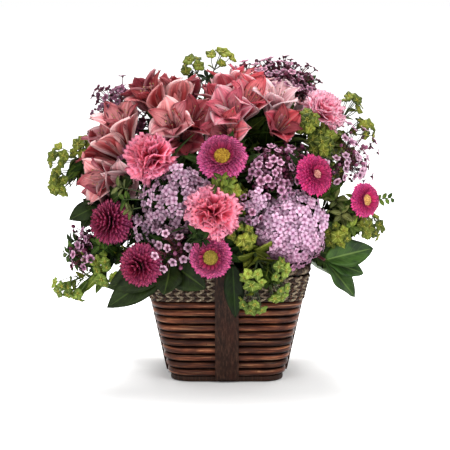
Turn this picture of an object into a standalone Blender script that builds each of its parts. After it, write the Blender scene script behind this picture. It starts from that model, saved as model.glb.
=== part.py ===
"""A square wicker basket with a mound of cut flowers standing in floral foam.

Metres, +Z up. The origin is the middle of the basket's underside, and the front
of the arrangement faces -Y. A turn is counted in degrees round the basket from
the front towards +X, and a lift in degrees above level.
"""

import math
import random

import bmesh
import bpy
from mathutils import Matrix, Vector

MM = 0.001
GAP = 0.3 * MM
SEED = 7

# Basket: a tapered square, wider at the rim
RIM_HEIGHT = 130 * MM
FLOOR_HALF = 63 * MM
RIM_HALF = 92 * MM
CORNER_RADIUS = 22 * MM
CORNER_STEPS = 2
BASE_THICK = 6 * MM
BASE_HALF = 61.5 * MM

# Rods stacked up the lower wall
ROD_COUNT = 10
ROD_RADIUS = 4.1 * MM
ROD_PITCH = 8.6 * MM
FIRST_ROD = BASE_THICK + GAP + ROD_RADIUS

# Woven band and rope border above the rods
ROPE_RADIUS = 4.5 * MM
BAND_FOOT = FIRST_ROD + (ROD_COUNT - 1) * ROD_PITCH + ROD_RADIUS + GAP
BAND_TOP = RIM_HEIGHT - 2 * ROPE_RADIUS - 4 * GAP
BAND_ROWS = 4
BAND_THICK = 3.4 * MM
WEAVE_DEPTH = 1.2 * MM

# One flat slat up the middle of each side
SLAT_WIDTH = 26 * MM
SLAT_THICK = 3 * MM
SLAT_FOOT = 3 * MM
SLAT_BEVEL = 0.8 * MM

# Liner and foam inside
WALL_DEPTH = 2 * ROD_RADIUS + 1.0 * MM
LINER_THICK = 1.4 * MM
LINER_TOP = 119 * MM
LINER_CORNER = CORNER_RADIUS + ROD_RADIUS - WALL_DEPTH
FOAM_FOOT = BASE_THICK + GAP + LINER_THICK + GAP
FOAM_TOP = 150 * MM
FOAM_FOOT_HALF = 47 * MM
FOAM_TOP_HALF = 62 * MM

# Stems in the foam
HOLE_REACH = 52 * MM
HOLE_CLEARANCE = 0.45 * MM
STEM_DEPTH = 20 * MM
STEM_RISE = 6 * MM
STEM_STEPS = 3
LEAN_SHARE = 0.78
MOST_LEAN = 70
STEM_BEVEL = 1
GOLDEN_ANGLE = math.pi * (3 - math.sqrt(5))

COLOURS = {
    "rod": ((0.16, 0.06, 0.03), 0.45),
    "band": ((0.22, 0.17, 0.11), 0.8),
    "slat": ((0.06, 0.03, 0.02), 0.5),
    "liner": ((0.03, 0.04, 0.03), 0.4),
    "foam": ((0.05, 0.14, 0.07), 0.95),
    "aster": ((0.62, 0.03, 0.22), 0.6),
    "carnation": ((0.85, 0.20, 0.26), 0.6),
    "hydrangea": ((0.62, 0.38, 0.62), 0.6),
    "alstroemeria": ((0.55, 0.12, 0.15), 0.5),
    "waxflower": ((0.50, 0.22, 0.38), 0.6),
    "bupleurum": ((0.30, 0.38, 0.06), 0.6),
    "salal": ((0.03, 0.11, 0.03), 0.4),
}

# Flower heads: middle in mm, turn, lift, radius in mm
ASTERS = [
    ((-5, -116, 252), -3, 30, 27),
    ((94, -98, 231), 36, 18, 23),
    ((150, -60, 199), 52, 8, 19.5),
    ((-17, -133, 148), -6, 2, 23),
    ((-124, -68, 176), -55, 8, 23),
    ((-90, -113, 137), -28, -6, 22),
    ((76, 104, 222), 146, 24, 24),
    ((-84, 104, 182), 220, 12, 24),
]
CARNATIONS = [
    ((-84, -86, 249), -38, 28, 25),
    ((-15, -138, 196), -4, 12, 26),
    ((107, -30, 294), 50, 45, 23),
    ((6, 88, 280), 178, 42, 26),
]
HYDRANGEAS = [
    ((-54, -84, 199), -25, 18, 36),
    ((66, -82, 172), 28, 8, 41),
    ((-2, 90, 192), 178, 14, 42),
]

# Alstroemeria: where the bloom stalks fork, then the mouth of each bloom
ALSTROEMERIAS = {
    "top_left": (
        (-50, -22, 258),
        [(-88, -40, 318), (-62, -16, 326), (-60, -76, 288), (-32, -62, 290)],
    ),
    "top_centre": ((8, -12, 262), [(2, -66, 300), (26, -46, 312), (3, -4, 328)]),
    "right": ((44, -16, 254), [(62, -66, 289), (45, -16, 307)]),
    "left": ((-98, -16, 222), [(-117, -42, 288), (-141, -48, 221), (-149, -14, 252)]),
    "back": ((44, 48, 250), [(66, 84, 296), (92, 44, 292)]),
}

# Sprays of waxflower: fork, turn, lift, reach in mm, spread in degrees, florets
WAXFLOWERS = {
    "centre": ((42, -74, 222), 22, 36, 34, 44, 7),
    "top": ((60, 18, 298), 60, 78, 36, 44, 8),
    "top_left": ((-108, -2, 280), -78, 50, 44, 30, 6),
    "right": ((120, -24, 232), 72, 26, 40, 40, 6),
    "low_centre": ((-50, -98, 150), -14, 4, 38, 34, 6),
    "low_left": ((-126, -34, 150), -76, -8, 42, 28, 6),
    "back": ((-58, 58, 246), 224, 38, 44, 42, 6),
}

# Sprays of bupleurum: fork, then the middle of each ruff of leaves
BUPLEURUMS = {
    "left": (
        (-140, 16, 230),
        [(-183, -10, 256), (-193, -18, 236), (-182, -12, 214), (-160, -4, 262)],
    ),
    "top": ((-24, 12, 312), [(-38, -2, 346), (-4, -4, 354)]),
    "right_top": (
        (112, -4, 256),
        [(86, -64, 285), (101, -68, 262), (150, -5, 303), (165, -5, 273)],
    ),
    "centre": ((14, -88, 196), [(-3, -127, 221), (17, -128, 166)]),
    "right_low": ((126, -32, 164), [(118, -83, 163), (154, -44, 168), (172, -30, 156)]),
    "spill": (
        (32, -106, 141),
        [(26, -125, 118), (25, -116, 90), (61, -114, 131), (57, -112, 103)],
    ),
    "left_low": ((-126, -50, 130), [(-175, -50, 100), (-138, -74, 114), (-146, -68, 128)]),
    "back": ((100, 52, 222), [(142, 62, 238), (126, 84, 206), (132, 40, 258)]),
}

# Salal: the end of the stem, its turn and lift there, then each leaf's tip and width
SALALS = {
    "low_left": ((-58, -103, 137), -20, -8, [((-122, -86, 80), 44), ((-22, -122, 115), 30)]),
    "low_right": ((104, -86, 138), 28, -8, [((134, -82, 96), 46), ((158, -62, 149), 34)]),
    "low_centre": ((6, -106, 137), 3, -12, [((9, -112, 80), 24)]),
    "left": ((-138, -44, 192), -74, 4, [((-171, -40, 172), 22)]),
    "back_left": ((-58, 103, 138), 212, -8, [((-122, 90, 88), 40), ((-24, 118, 88), 32)]),
    "back_right": ((66, 103, 138), 146, -8, [((124, 90, 90), 40), ((36, 118, 86), 32)]),
}

# Where a stem's hole is turned away from its flower, so that it clears its neighbours
HOLE_TURNS = {
    "aster_2": 56,
    "aster_5": -57,
    "aster_6": -44,
    "carnation_1": -60,
    "carnation_2": 3,
    "bupleurum_left_low": -65,
    "bupleurum_right_low": 86,
    "bupleurum_spill": 12,
    "waxflower_low_centre": -24,
    "waxflower_low_left": -84,
    "salal_left": -74,
    "salal_low_left": -36,
    "salal_low_right": 74,
    "salal_back_right": 146,
    "salal_back_left": 222,
}

# Rings of each head from its face to its foot, as shares of its radius. A star is
# the reach and height of its lobes, those of the notches between them, and
# whether its lobes are turned half a step. A plain ring is one reach and height.
ASTER_RINGS = [
    (0.22,),
    (0.30, 0.12),
    (0.80, 0.26, 0.62, 0.16, False),
    (0.42, -0.02),
    (1.00, -0.04, 0.80, -0.08, True),
    (0.22, -0.28),
    (-0.34,),
]
CARNATION_RINGS = [
    (0.34,),
    (0.34, 0.62, 0.22, 0.50, False),
    (0.36, 0.30),
    (0.74, 0.48, 0.56, 0.38, True),
    (0.56, 0.12),
    (1.00, 0.12, 0.78, 0.00, False),
    (0.26, -0.36),
    (0.22, -0.80),
    (-0.90,),
]
FLORET_RINGS = [
    (0.12,),
    (1.00, 0.26, 0.60, 0.14, False),
    (-1.50,),
]
WAX_RINGS = [
    (0.02,),
    (1.00, 0.40, 0.52, 0.20, False),
    (0.28, -0.35),
]
RUFF_RINGS = [
    (0.00,),
    (1.00, 0.16, 0.66, 0.08, False),
    (0.13, -0.50),
]
TRUMPET_RINGS = [
    (-0.80,),
    (1.00, 0.08, 0.56, -0.18, False),
    (0.42, -0.90),
    (0.13, -1.75),
]
LEAF_OUTLINE = (0.62, 1.0, 0.84, 0.42)


def clear_scene():
    for obj in list(bpy.data.objects):
        bpy.data.objects.remove(obj)


def new_collection(name):
    collection = bpy.data.collections.new(name)
    bpy.context.scene.collection.children.link(collection)
    return collection


def make_materials():
    made = {}
    for name, (colour, roughness) in COLOURS.items():
        material = bpy.data.materials.new(name)
        material.use_nodes = True
        shader = material.node_tree.nodes["Principled BSDF"]
        shader.inputs["Base Color"].default_value = (*colour, 1)
        shader.inputs["Roughness"].default_value = roughness
        shader.inputs["Metallic"].default_value = 0
        made[name] = material
    return made


def mesh_object(name, bm, collection):
    """The object of a bmesh, linked into the collection."""
    mesh = bpy.data.meshes.new(name)
    bm.to_mesh(mesh)
    bm.free()
    obj = bpy.data.objects.new(name, mesh)
    collection.objects.link(obj)
    return obj


def finish(obj, material, smooth=40):
    """Gives a piece its material, and smooth shading up to that angle."""
    obj.data.materials.clear()
    obj.data.materials.append(material)
    if obj.type == "MESH":
        obj.data.shade_smooth()
        obj.data.set_sharp_from_angle(angle=math.radians(smooth))


def half_width(height):
    """Half the basket's outer width at a height."""
    return FLOOR_HALF + (RIM_HALF - FLOOR_HALF) * height / RIM_HEIGHT


def rounded_square(half, corner, corner_steps, side_steps=1):
    """Points round a square with round corners, anticlockwise from its +X side."""
    points = []
    for quarter in range(4):
        middle = math.pi / 4 + quarter * math.pi / 2
        centre = Vector((math.cos(middle), math.sin(middle))) * math.sqrt(2) * (half - corner)
        for step in range(corner_steps + 1):
            angle = math.pi / 2 * (quarter + step / corner_steps)
            points.append(centre + corner * Vector((math.cos(angle), math.sin(angle))))
        turn = math.pi / 2 * (quarter + 1)
        along = Vector((-math.sin(turn), math.cos(turn))) * 2 * (half - corner)
        start = points[-1]
        for step in range(1, side_steps):
            points.append(start + along * step / side_steps)
    return points


def tube_curve(name, points, radius, collection, cyclic=False, sides_level=STEM_BEVEL):
    """A round tube along straight runs between the points."""
    curve = bpy.data.curves.new(name, "CURVE")
    curve.dimensions = "3D"
    curve.bevel_depth = radius
    curve.bevel_resolution = sides_level
    curve.use_fill_caps = not cyclic
    spline = curve.splines.new("POLY")
    spline.points.add(len(points) - 1)
    for spline_point, place in zip(spline.points, points):
        spline_point.co = (*place, 1)
    spline.use_cyclic_u = cyclic
    obj = bpy.data.objects.new(name, curve)
    collection.objects.link(obj)
    return obj


def tube_mesh(name, points, radius, collection):
    """The same tube as a closed mesh, which a Boolean can take."""
    curve = tube_curve(name, points, radius, collection)
    bpy.context.view_layer.update()
    graph = bpy.context.evaluated_depsgraph_get()
    mesh = bpy.data.meshes.new_from_object(curve.evaluated_get(graph))
    bpy.data.objects.remove(curve)
    bm = bmesh.new()
    bm.from_mesh(mesh)
    bmesh.ops.remove_doubles(bm, verts=bm.verts, dist=0.01 * MM)
    return mesh_object(name, bm, collection)


def fuse(name, pieces, collection):
    """One body from overlapping pieces."""
    body, *rest = pieces
    if rest:
        joined = new_collection(name + "_pieces")
        for piece in rest:
            collection.objects.unlink(piece)
            joined.objects.link(piece)
        union = body.modifiers.new("Join", "BOOLEAN")
        union.operation = "UNION"
        union.operand_type = "COLLECTION"
        union.collection = joined
        union.solver = "EXACT"
        bpy.context.view_layer.update()
        graph = bpy.context.evaluated_depsgraph_get()
        mesh = bpy.data.meshes.new_from_object(body.evaluated_get(graph))
        body.modifiers.clear()
        body.data = mesh
        for piece in rest:
            bpy.data.objects.remove(piece)
        bpy.data.collections.remove(joined)
    body.name = name
    return body


def direction(turn, lift):
    """The unit vector at a turn round the basket and a lift above level."""
    turn, lift = math.radians(turn), math.radians(lift)
    return Vector((math.sin(turn) * math.cos(lift), -math.cos(turn) * math.cos(lift), math.sin(lift)))


def from_mm(place):
    return Vector(place) * MM


def facing(place, towards, spin=0.0):
    """The matrix that puts a head's middle at the place, with its face towards a direction."""
    turned = Vector(towards).to_track_quat("Z", "Y").to_matrix().to_4x4()
    return Matrix.Translation(place) @ turned @ Matrix.Rotation(spin, 4, "Z")


def lobed_head(name, lobes, rings, radius, collection, foot=None, uneven=0.0, rng=None):
    """A ball pulled into a flower: each of its rings follows one entry of rings.

    foot holds the radius and depth of a stalk's end, which takes the place of the
    last point, and uneven is the most that a lobe's reach and height wander.
    """
    if foot:
        stalk, depth = foot
        rings = [*rings, (stalk / radius, -depth / radius), (-(depth + stalk) / radius,)]
    top, *middle, last = rings
    steps = len(middle) + 1
    bm = bmesh.new()
    bmesh.ops.create_uvsphere(bm, u_segments=2 * lobes, v_segments=steps, radius=1)
    for vert in bm.verts:
        ring = round(math.acos(max(-1.0, min(1.0, vert.co.z))) / math.pi * steps)
        if ring in (0, steps):
            vert.co = (0, 0, radius * (top[0] if ring == 0 else last[0]))
            continue
        step = round(math.atan2(vert.co.y, vert.co.x) / (math.pi / lobes)) % (2 * lobes)
        if len(middle[ring - 1]) == 2:
            reach, height = middle[ring - 1]
            step -= step % 2
        else:
            *sizes, half_step = middle[ring - 1]
            reach, height = sizes[:2] if (step + half_step) % 2 == 0 else sizes[2:]
            if uneven:
                reach += rng.uniform(-uneven, uneven)
                height += rng.uniform(-uneven, uneven)
        angle = step * math.pi / lobes
        vert.co = (radius * reach * math.cos(angle), radius * reach * math.sin(angle), radius * height)
    bmesh.ops.remove_doubles(bm, verts=bm.verts, dist=0.001 * MM)
    bmesh.ops.triangulate(bm, faces=bm.faces, quad_method="SHORT_EDGE")
    return mesh_object(name, bm, collection)


def blade(name, foot, tip, width, thick, bow, up, collection):
    """A leaf: a four-sided ball pulled flat from foot to tip, its face up and bowed."""
    bm = bmesh.new()
    steps = len(LEAF_OUTLINE) + 1
    bmesh.ops.create_uvsphere(bm, u_segments=4, v_segments=steps, radius=1)
    along = tip - foot
    across = up.cross(along).normalized()
    rise = along.cross(across).normalized()
    for vert in bm.verts:
        ring = steps - round(math.acos(max(-1.0, min(1.0, vert.co.z))) / math.pi * steps)
        share = ring / steps
        side = 0.0
        level = bow * 4 * share * (1 - share)
        if 0 < ring < steps:
            angle = math.atan2(vert.co.y, vert.co.x)
            side = math.cos(angle) * width / 2 * LEAF_OUTLINE[ring - 1]
            level += math.sin(angle) * thick / 2 + abs(math.cos(angle)) * thick
        vert.co = foot + along * share + across * side + rise * level
    return mesh_object(name, bm, collection)


def stem_hole(name, target):
    """Where a stem leaves the foam for a target, and its direction there."""
    offset = target - Vector((0, 0, FOAM_TOP))
    turn = HOLE_TURNS.get(name, math.degrees(math.atan2(offset.x, -offset.y)))
    lift = math.degrees(math.asin(offset.z / offset.length))
    lean = min(MOST_LEAN, LEAN_SHARE * (90 - lift))
    mouth = direction(turn, 0) * HOLE_REACH * min(1.0, (90 - lift) / 95)
    return mouth + Vector((0, 0, FOAM_TOP)), direction(turn, 90 - lean)


def stem_points(name, target, arrive):
    """A stem's run from inside the foam, straight through its hole, then curved to the target."""
    mouth, way = stem_hole(name, target)
    lean = math.degrees(math.acos(way.z))
    depth = STEM_DEPTH * (1 - 0.45 * lean / 90)
    start = mouth + way * STEM_RISE
    hold = 0.36 * (target - start).length
    knots = (start, start + way * hold, target - arrive * hold, target)
    points = [mouth - way * depth, start]
    for step in range(1, STEM_STEPS + 1):
        t = step / STEM_STEPS
        weights = ((1 - t) ** 3, 3 * t * (1 - t) ** 2, 3 * t * t * (1 - t), t**3)
        points.append(sum((w * k for w, k in zip(weights, knots)), Vector()))
    return points


def stem_with_hole(name, target, arrive, radius, parts, cutters):
    """A stem to the target, and the cutter of its hole in the foam."""
    points = stem_points(name, target, arrive)
    way = (points[1] - points[0]).normalized()
    hole = [points[0] - way * 0.5 * MM, points[1] + way * 4 * MM]
    cutter = tube_mesh("stem_hole", hole, radius + HOLE_CLEARANCE, cutters)
    cutter.hide_render = True
    cutter.display_type = "WIRE"
    return tube_mesh("stem", points, radius, parts)


def build_basket(parts, looks):
    base = bpy.data.curves.new("basket_base", "CURVE")
    base.dimensions = "2D"
    base.fill_mode = "BOTH"
    base.extrude = BASE_THICK / 2
    spline = base.splines.new("POLY")
    outline = rounded_square(BASE_HALF, CORNER_RADIUS, CORNER_STEPS + 1)
    spline.points.add(len(outline) - 1)
    for spline_point, place in zip(spline.points, outline):
        spline_point.co = (*place, 0, 1)
    spline.use_cyclic_u = True
    board = bpy.data.objects.new("basket_base", base)
    board.location.z = BASE_THICK / 2
    parts.objects.link(board)
    finish(board, looks["slat"])

    for number in range(ROD_COUNT):
        height = FIRST_ROD + number * ROD_PITCH
        half = half_width(height) - ROD_RADIUS
        loop = [(*p, 0) for p in rounded_square(half, CORNER_RADIUS, CORNER_STEPS)]
        rod = tube_curve(f"rod_{number + 1:02d}", loop, ROD_RADIUS, parts, cyclic=True)
        rod.location.z = height
        finish(rod, looks["rod"])

    height = RIM_HEIGHT - ROPE_RADIUS
    half = half_width(height) - ROPE_RADIUS
    loop = [(*p, 0) for p in rounded_square(half, CORNER_RADIUS, CORNER_STEPS + 1)]
    rope = tube_curve("rim_rope", loop, ROPE_RADIUS, parts, cyclic=True)
    rope.location.z = height
    finish(rope, looks["band"])

    woven_band(parts, looks)
    slats(parts, looks)


def wall_shell(name, rows, parts):
    """An open wall through loops of points, from the lowest to the highest."""
    bm = bmesh.new()
    loop = [bm.verts.new(place) for place in rows[0]]
    edges = [bm.edges.new(ends) for ends in zip(loop, loop[1:] + loop[:1])]
    for row in rows[1:]:
        made = bmesh.ops.extrude_edge_only(bm, edges=edges)["geom"]
        edges = [item for item in made if isinstance(item, bmesh.types.BMEdge)]
        loop = [item for item in made if isinstance(item, bmesh.types.BMVert)]
        for vert, place in zip(loop, row):
            vert.co = place
    bmesh.ops.recalc_face_normals(bm, faces=bm.faces)
    return mesh_object(name, bm, parts)


def woven_band(parts, looks):
    rows = []
    for row in range(BAND_ROWS + 1):
        height = BAND_FOOT + (BAND_TOP - BAND_FOOT) * row / BAND_ROWS
        half = half_width(height) - WEAVE_DEPTH
        loop = []
        for index, point in enumerate(rounded_square(half, CORNER_RADIUS, 3, 5)):
            outward = WEAVE_DEPTH if (index + row) % 2 else -WEAVE_DEPTH
            loop.append((*(point * (1 + outward / half)), height))
        rows.append(loop)
    band = wall_shell("woven_band", rows, parts)
    wall = band.modifiers.new("Thickness", "SOLIDIFY")
    wall.thickness = BAND_THICK
    wall.offset = -1
    finish(band, looks["band"])


def slats(parts, looks):
    slope = math.atan2(RIM_HALF - FLOOR_HALF, RIM_HEIGHT)
    length = (RIM_HEIGHT - SLAT_FOOT) / math.cos(slope)
    middle = (RIM_HEIGHT + SLAT_FOOT) / 2
    out = half_width(middle) + (GAP + SLAT_THICK / 2) / math.cos(slope)
    for number, name in enumerate(("front", "right", "back", "left")):
        turn = number * math.pi / 2
        bpy.ops.mesh.primitive_cube_add(size=1)
        slat = bpy.context.object
        for collection in slat.users_collection:
            collection.objects.unlink(slat)
        parts.objects.link(slat)
        slat.name = "slat_" + name
        shape = Matrix.Diagonal((SLAT_WIDTH, SLAT_THICK, length, 1))
        slat.data.transform(Matrix.Rotation(slope, 4, "X") @ shape)
        slat.location = (math.sin(turn) * out, -math.cos(turn) * out, middle)
        slat.rotation_euler.z = turn
        edge = slat.modifiers.new("Edge", "BEVEL")
        edge.width = SLAT_BEVEL
        edge.segments = 1
        finish(slat, looks["slat"])


def liner_and_foam(parts, cutters, looks):
    low = BASE_THICK + GAP
    rows = []
    for height in (low, LINER_TOP):
        half = half_width(height) - WALL_DEPTH
        rows.append([(*p, height) for p in rounded_square(half, LINER_CORNER, CORNER_STEPS)])
    liner = wall_shell("liner", rows, parts)
    bm = bmesh.new()
    bm.from_mesh(liner.data)
    floor_edges = [e for e in bm.edges if e.is_boundary and max(v.co.z for v in e.verts) < low + MM]
    bmesh.ops.contextual_create(bm, geom=floor_edges)
    bmesh.ops.recalc_face_normals(bm, faces=bm.faces)
    bm.to_mesh(liner.data)
    bm.free()
    wall = liner.modifiers.new("Thickness", "SOLIDIFY")
    wall.thickness = LINER_THICK
    wall.offset = -1
    finish(liner, looks["liner"])

    bm = bmesh.new()
    depth = FOAM_TOP - FOAM_FOOT
    bmesh.ops.create_cone(
        bm, cap_ends=True, segments=4, depth=depth,
        radius1=FOAM_FOOT_HALF * math.sqrt(2), radius2=FOAM_TOP_HALF * math.sqrt(2),
        matrix=Matrix.Translation((0, 0, FOAM_FOOT + depth / 2)) @ Matrix.Rotation(math.pi / 4, 4, "Z"),
    )
    foam = mesh_object("floral_foam", bm, parts)
    holes = foam.modifiers.new("Stem holes", "BOOLEAN")
    holes.operation = "DIFFERENCE"
    holes.operand_type = "COLLECTION"
    holes.collection = cutters
    holes.solver = "EXACT"
    finish(foam, looks["foam"])


def build_asters(parts, cutters, looks):
    for number, (place, turn, lift, radius) in enumerate(ASTERS, 1):
        towards = direction(turn, lift)
        place = from_mm(place)
        radius *= MM
        name = f"aster_{number}"
        head = lobed_head("head", 13, ASTER_RINGS, radius, parts)
        head.data.transform(facing(place, towards, number))
        stem = stem_with_hole(name, place - towards * 0.16 * radius, towards, 1.9 * MM, parts, cutters)
        finish(fuse(name, [stem, head], parts), looks["aster"])


def build_carnations(parts, cutters, looks):
    rng = random.Random(SEED)
    for number, (place, turn, lift, radius) in enumerate(CARNATIONS, 1):
        towards = direction(turn, lift)
        place = from_mm(place)
        radius *= MM
        name = f"carnation_{number}"
        head = lobed_head("head", 10, CARNATION_RINGS, radius, parts, uneven=0.07, rng=rng)
        head.data.transform(facing(place, towards, number))
        stem = stem_with_hole(name, place - towards * 0.7 * radius, towards, 1.9 * MM, parts, cutters)
        finish(fuse(name, [stem, head], parts), looks["carnation"])


def build_hydrangeas(parts, cutters, looks):
    florets, widest, core_share, floret_share = 20, math.radians(112), 0.80, 0.29
    for number, (place, turn, lift, radius) in enumerate(HYDRANGEAS, 1):
        towards = direction(turn, lift)
        place = from_mm(place)
        radius *= MM
        bm = bmesh.new()
        bmesh.ops.create_icosphere(bm, subdivisions=1, radius=core_share * radius)
        core = mesh_object("core", bm, parts)
        core.data.transform(Matrix.Translation(place))
        pieces = [core]
        turned = Vector(towards).to_track_quat("Z", "Y").to_matrix()
        for index in range(florets):
            tilt = math.acos(1 - (1 - math.cos(widest)) * (index + 0.5) / florets)
            angle = index * GOLDEN_ANGLE
            out = turned @ Vector((
                math.sin(tilt) * math.cos(angle), math.sin(tilt) * math.sin(angle), math.cos(tilt),
            ))
            floret = lobed_head("floret", 4, FLORET_RINGS, floret_share * radius, parts)
            floret.data.transform(facing(place + out * 0.93 * radius, out, index))
            pieces.append(floret)
        name = f"hydrangea_{number}"
        pieces.append(stem_with_hole(name, place - towards * 0.5 * radius, towards, 2.4 * MM, parts, cutters))
        finish(fuse(name, pieces, parts), looks["hydrangea"])


def knob(place, radius, parts):
    """The small swelling where stalks meet."""
    bm = bmesh.new()
    bmesh.ops.create_icosphere(bm, subdivisions=1, radius=radius, matrix=Matrix.Translation(place))
    return mesh_object("knob", bm, parts)


def stalked_head(lobes, rings, radius, stalk, fork, mouth, parts, spin=0.0):
    """A head on its stalk, both one body, from the fork to the mouth of the head."""
    out = mouth - fork
    head = lobed_head("head", lobes, rings, radius, parts, foot=(stalk, out.length))
    head.data.transform(facing(mouth, out.normalized(), spin))
    return head


def build_alstroemerias(parts, cutters, looks):
    for spray, (fork, mouths) in ALSTROEMERIAS.items():
        name = "alstroemeria_" + spray
        fork = from_mm(fork)
        mouths = [from_mm(mouth) for mouth in mouths]
        arrive = (sum(mouths, Vector()) / len(mouths) - fork).normalized()
        pieces = [stem_with_hole(name, fork, arrive, 2 * MM, parts, cutters), knob(fork, 3.6 * MM, parts)]
        for index, mouth in enumerate(mouths):
            pieces.append(stalked_head(6, TRUMPET_RINGS, 20 * MM, 1.6 * MM, fork, mouth, parts, index))
        finish(fuse(name, pieces, parts), looks["alstroemeria"])


def build_waxflowers(parts, cutters, looks):
    rng = random.Random(SEED)
    for spray, (fork, turn, lift, reach, spread, count) in WAXFLOWERS.items():
        name = "waxflower_" + spray
        fork = from_mm(fork)
        towards = direction(turn, lift)
        turned = towards.to_track_quat("Z", "Y").to_matrix()
        pieces = [stem_with_hole(name, fork, towards, 1.6 * MM, parts, cutters), knob(fork, 2.8 * MM, parts)]
        for index in range(count):
            tilt = math.radians(spread) * math.sqrt((index + 0.4) / count)
            angle = index * GOLDEN_ANGLE
            out = turned @ Vector((
                math.sin(tilt) * math.cos(angle), math.sin(tilt) * math.sin(angle), math.cos(tilt),
            ))
            mouth = fork + out * reach * MM * rng.uniform(0.85, 1.05)
            pieces.append(stalked_head(5, WAX_RINGS, 7 * MM, 0.8 * MM, fork, mouth, parts, index))
        finish(fuse(name, pieces, parts), looks["waxflower"])


def build_bupleurums(parts, cutters, looks):
    for spray, (fork, ruffs) in BUPLEURUMS.items():
        name = "bupleurum_" + spray
        fork = from_mm(fork)
        ruffs = [from_mm(ruff) for ruff in ruffs]
        arrive = (sum(ruffs, Vector()) / len(ruffs) - fork).normalized()
        pieces = [stem_with_hole(name, fork, arrive, 1.6 * MM, parts, cutters), knob(fork, 2.8 * MM, parts)]
        for index, ruff in enumerate(ruffs):
            pieces.append(stalked_head(5, RUFF_RINGS, 12.5 * MM, 0.8 * MM, fork, ruff, parts, index))
        finish(fuse(name, pieces, parts), looks["bupleurum"])


def build_salals(parts, cutters, looks):
    for spray, (end, turn, lift, leaves) in SALALS.items():
        name = "salal_" + spray
        end = from_mm(end)
        pieces = [stem_with_hole(name, end, direction(turn, lift), 1.6 * MM, parts, cutters)]
        pieces.append(knob(end, 2.8 * MM, parts))
        for tip, width in leaves:
            tip = from_mm(tip)
            middle = (end + tip) / 2
            up = Vector((middle.x, middle.y, 0)).normalized() + Vector((0, 0, 0.7))
            pieces.append(blade("leaf", end, tip, width * MM, 1.6 * MM, 7 * MM, up, parts))
        finish(fuse(name, pieces, parts), looks["salal"])


def main():
    clear_scene()
    parts = new_collection("flower_basket")
    cutters = new_collection("cutters")
    looks = make_materials()
    build_basket(parts, looks)
    build_asters(parts, cutters, looks)
    build_carnations(parts, cutters, looks)
    build_hydrangeas(parts, cutters, looks)
    build_alstroemerias(parts, cutters, looks)
    build_waxflowers(parts, cutters, looks)
    build_bupleurums(parts, cutters, looks)
    build_salals(parts, cutters, looks)
    liner_and_foam(parts, cutters, looks)


main()
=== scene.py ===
"""The dressed flower basket: wicker, liner, foam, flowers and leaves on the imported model.

Everything is in metres, +Z up, and the front of the arrangement faces -Y. Turns and
lifts are in degrees, as in the part's source. Each flower, spray or leafy stem is one
piece that stands for the node of the same name.
"""

import math
import random

import bmesh
import bpy
from mathutils import Matrix, Vector, noise


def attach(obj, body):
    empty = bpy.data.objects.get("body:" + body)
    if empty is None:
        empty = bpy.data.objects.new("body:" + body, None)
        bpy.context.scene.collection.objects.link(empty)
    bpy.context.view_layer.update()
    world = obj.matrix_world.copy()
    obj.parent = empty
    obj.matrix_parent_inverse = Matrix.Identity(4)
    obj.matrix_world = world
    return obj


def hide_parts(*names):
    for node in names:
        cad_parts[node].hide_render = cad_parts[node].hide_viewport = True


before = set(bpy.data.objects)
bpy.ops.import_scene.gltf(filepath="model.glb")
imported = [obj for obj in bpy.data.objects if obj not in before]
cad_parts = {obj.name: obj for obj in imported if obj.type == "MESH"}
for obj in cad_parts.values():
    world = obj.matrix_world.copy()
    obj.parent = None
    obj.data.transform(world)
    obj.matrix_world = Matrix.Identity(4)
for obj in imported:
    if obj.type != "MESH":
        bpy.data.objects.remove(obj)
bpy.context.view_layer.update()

MM = 0.001
GAP = 0.3 * MM
SEED = 7
GOLDEN_ANGLE = math.pi * (3 - math.sqrt(5))

# Basket
RIM_HEIGHT = 130 * MM
FLOOR_HALF = 63 * MM
RIM_HALF = 92 * MM
CORNER_RADIUS = 22 * MM
BASE_THICK = 6 * MM
BASE_EDGE = 1.1 * MM
BASE_HALF = 61.5 * MM
ROD_COUNT = 10
ROD_POINTS = 120
ROD_RADIUS = 4.1 * MM
ROD_PITCH = 8.6 * MM
FIRST_ROD = BASE_THICK + GAP + ROD_RADIUS
ROPE_RADIUS = 4.5 * MM
ROPE_TURNS = 40
ROPE_POINTS = 520
ROPE_TONES = (0.6, 0.85, 0.45)
STRAND_RADIUS = 2.35 * MM
STRAND_SWAY = 2.05 * MM
BAND_FOOT = FIRST_ROD + (ROD_COUNT - 1) * ROD_PITCH + ROD_RADIUS + GAP
BAND_TOP = RIM_HEIGHT - 2 * ROPE_RADIUS - 4 * GAP
BAND_THICK = 3.4 * MM
SLAT_WIDTH = 26 * MM
SLAT_THICK = 3 * MM
SLAT_FOOT = 3 * MM
SLAT_ROWS = 56
SLAT_EDGE = 0.8 * MM
SLAT_RIDGE = 0.22 * MM
SLAT_WARP = 0.35 * MM
STAKES = 112
STAKE_RADIUS = 0.8 * MM
TWINE_ROWS = 7
TWINE_TONES = (0.30, 0.85)
TWINE_RADIUS = 1.28 * MM
TWINE_BULGE = 1.0 * MM
TWINE_RISE = 0.95 * MM

# Foam and the holes that the stems stand in
FOAM_TOP = 150 * MM
HOLE_REACH = 52 * MM
STEM_DEPTH = 20 * MM
STEM_RISE = 6 * MM
STEM_STEPS = 16
LEAN_SHARE = 0.78
MOST_LEAN = 70
FLOWER_STEM = 1.9 * MM
HEAVY_STEM = 2.4 * MM
BLOOM_STEM = 2.0 * MM
THIN_STEM = 1.6 * MM

# The outline of the mound, which leaves stay inside, and the basket's mouth, which they stay above
MOUND_MIDDLE = Vector((0, 0, 0.150))
MOUND_SIZE = Vector((0.152, 0.134, 0.165))
MOUND_BELOW = 0.06
MOUND_SQUARENESS = 2.6
MOUTH_LEVEL = 0.134
MOUTH_REACH = 0.13
# How far to the sides the dark leaves between the ruffs go
DARK_LEAF_REACH = 128 * MM

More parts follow.
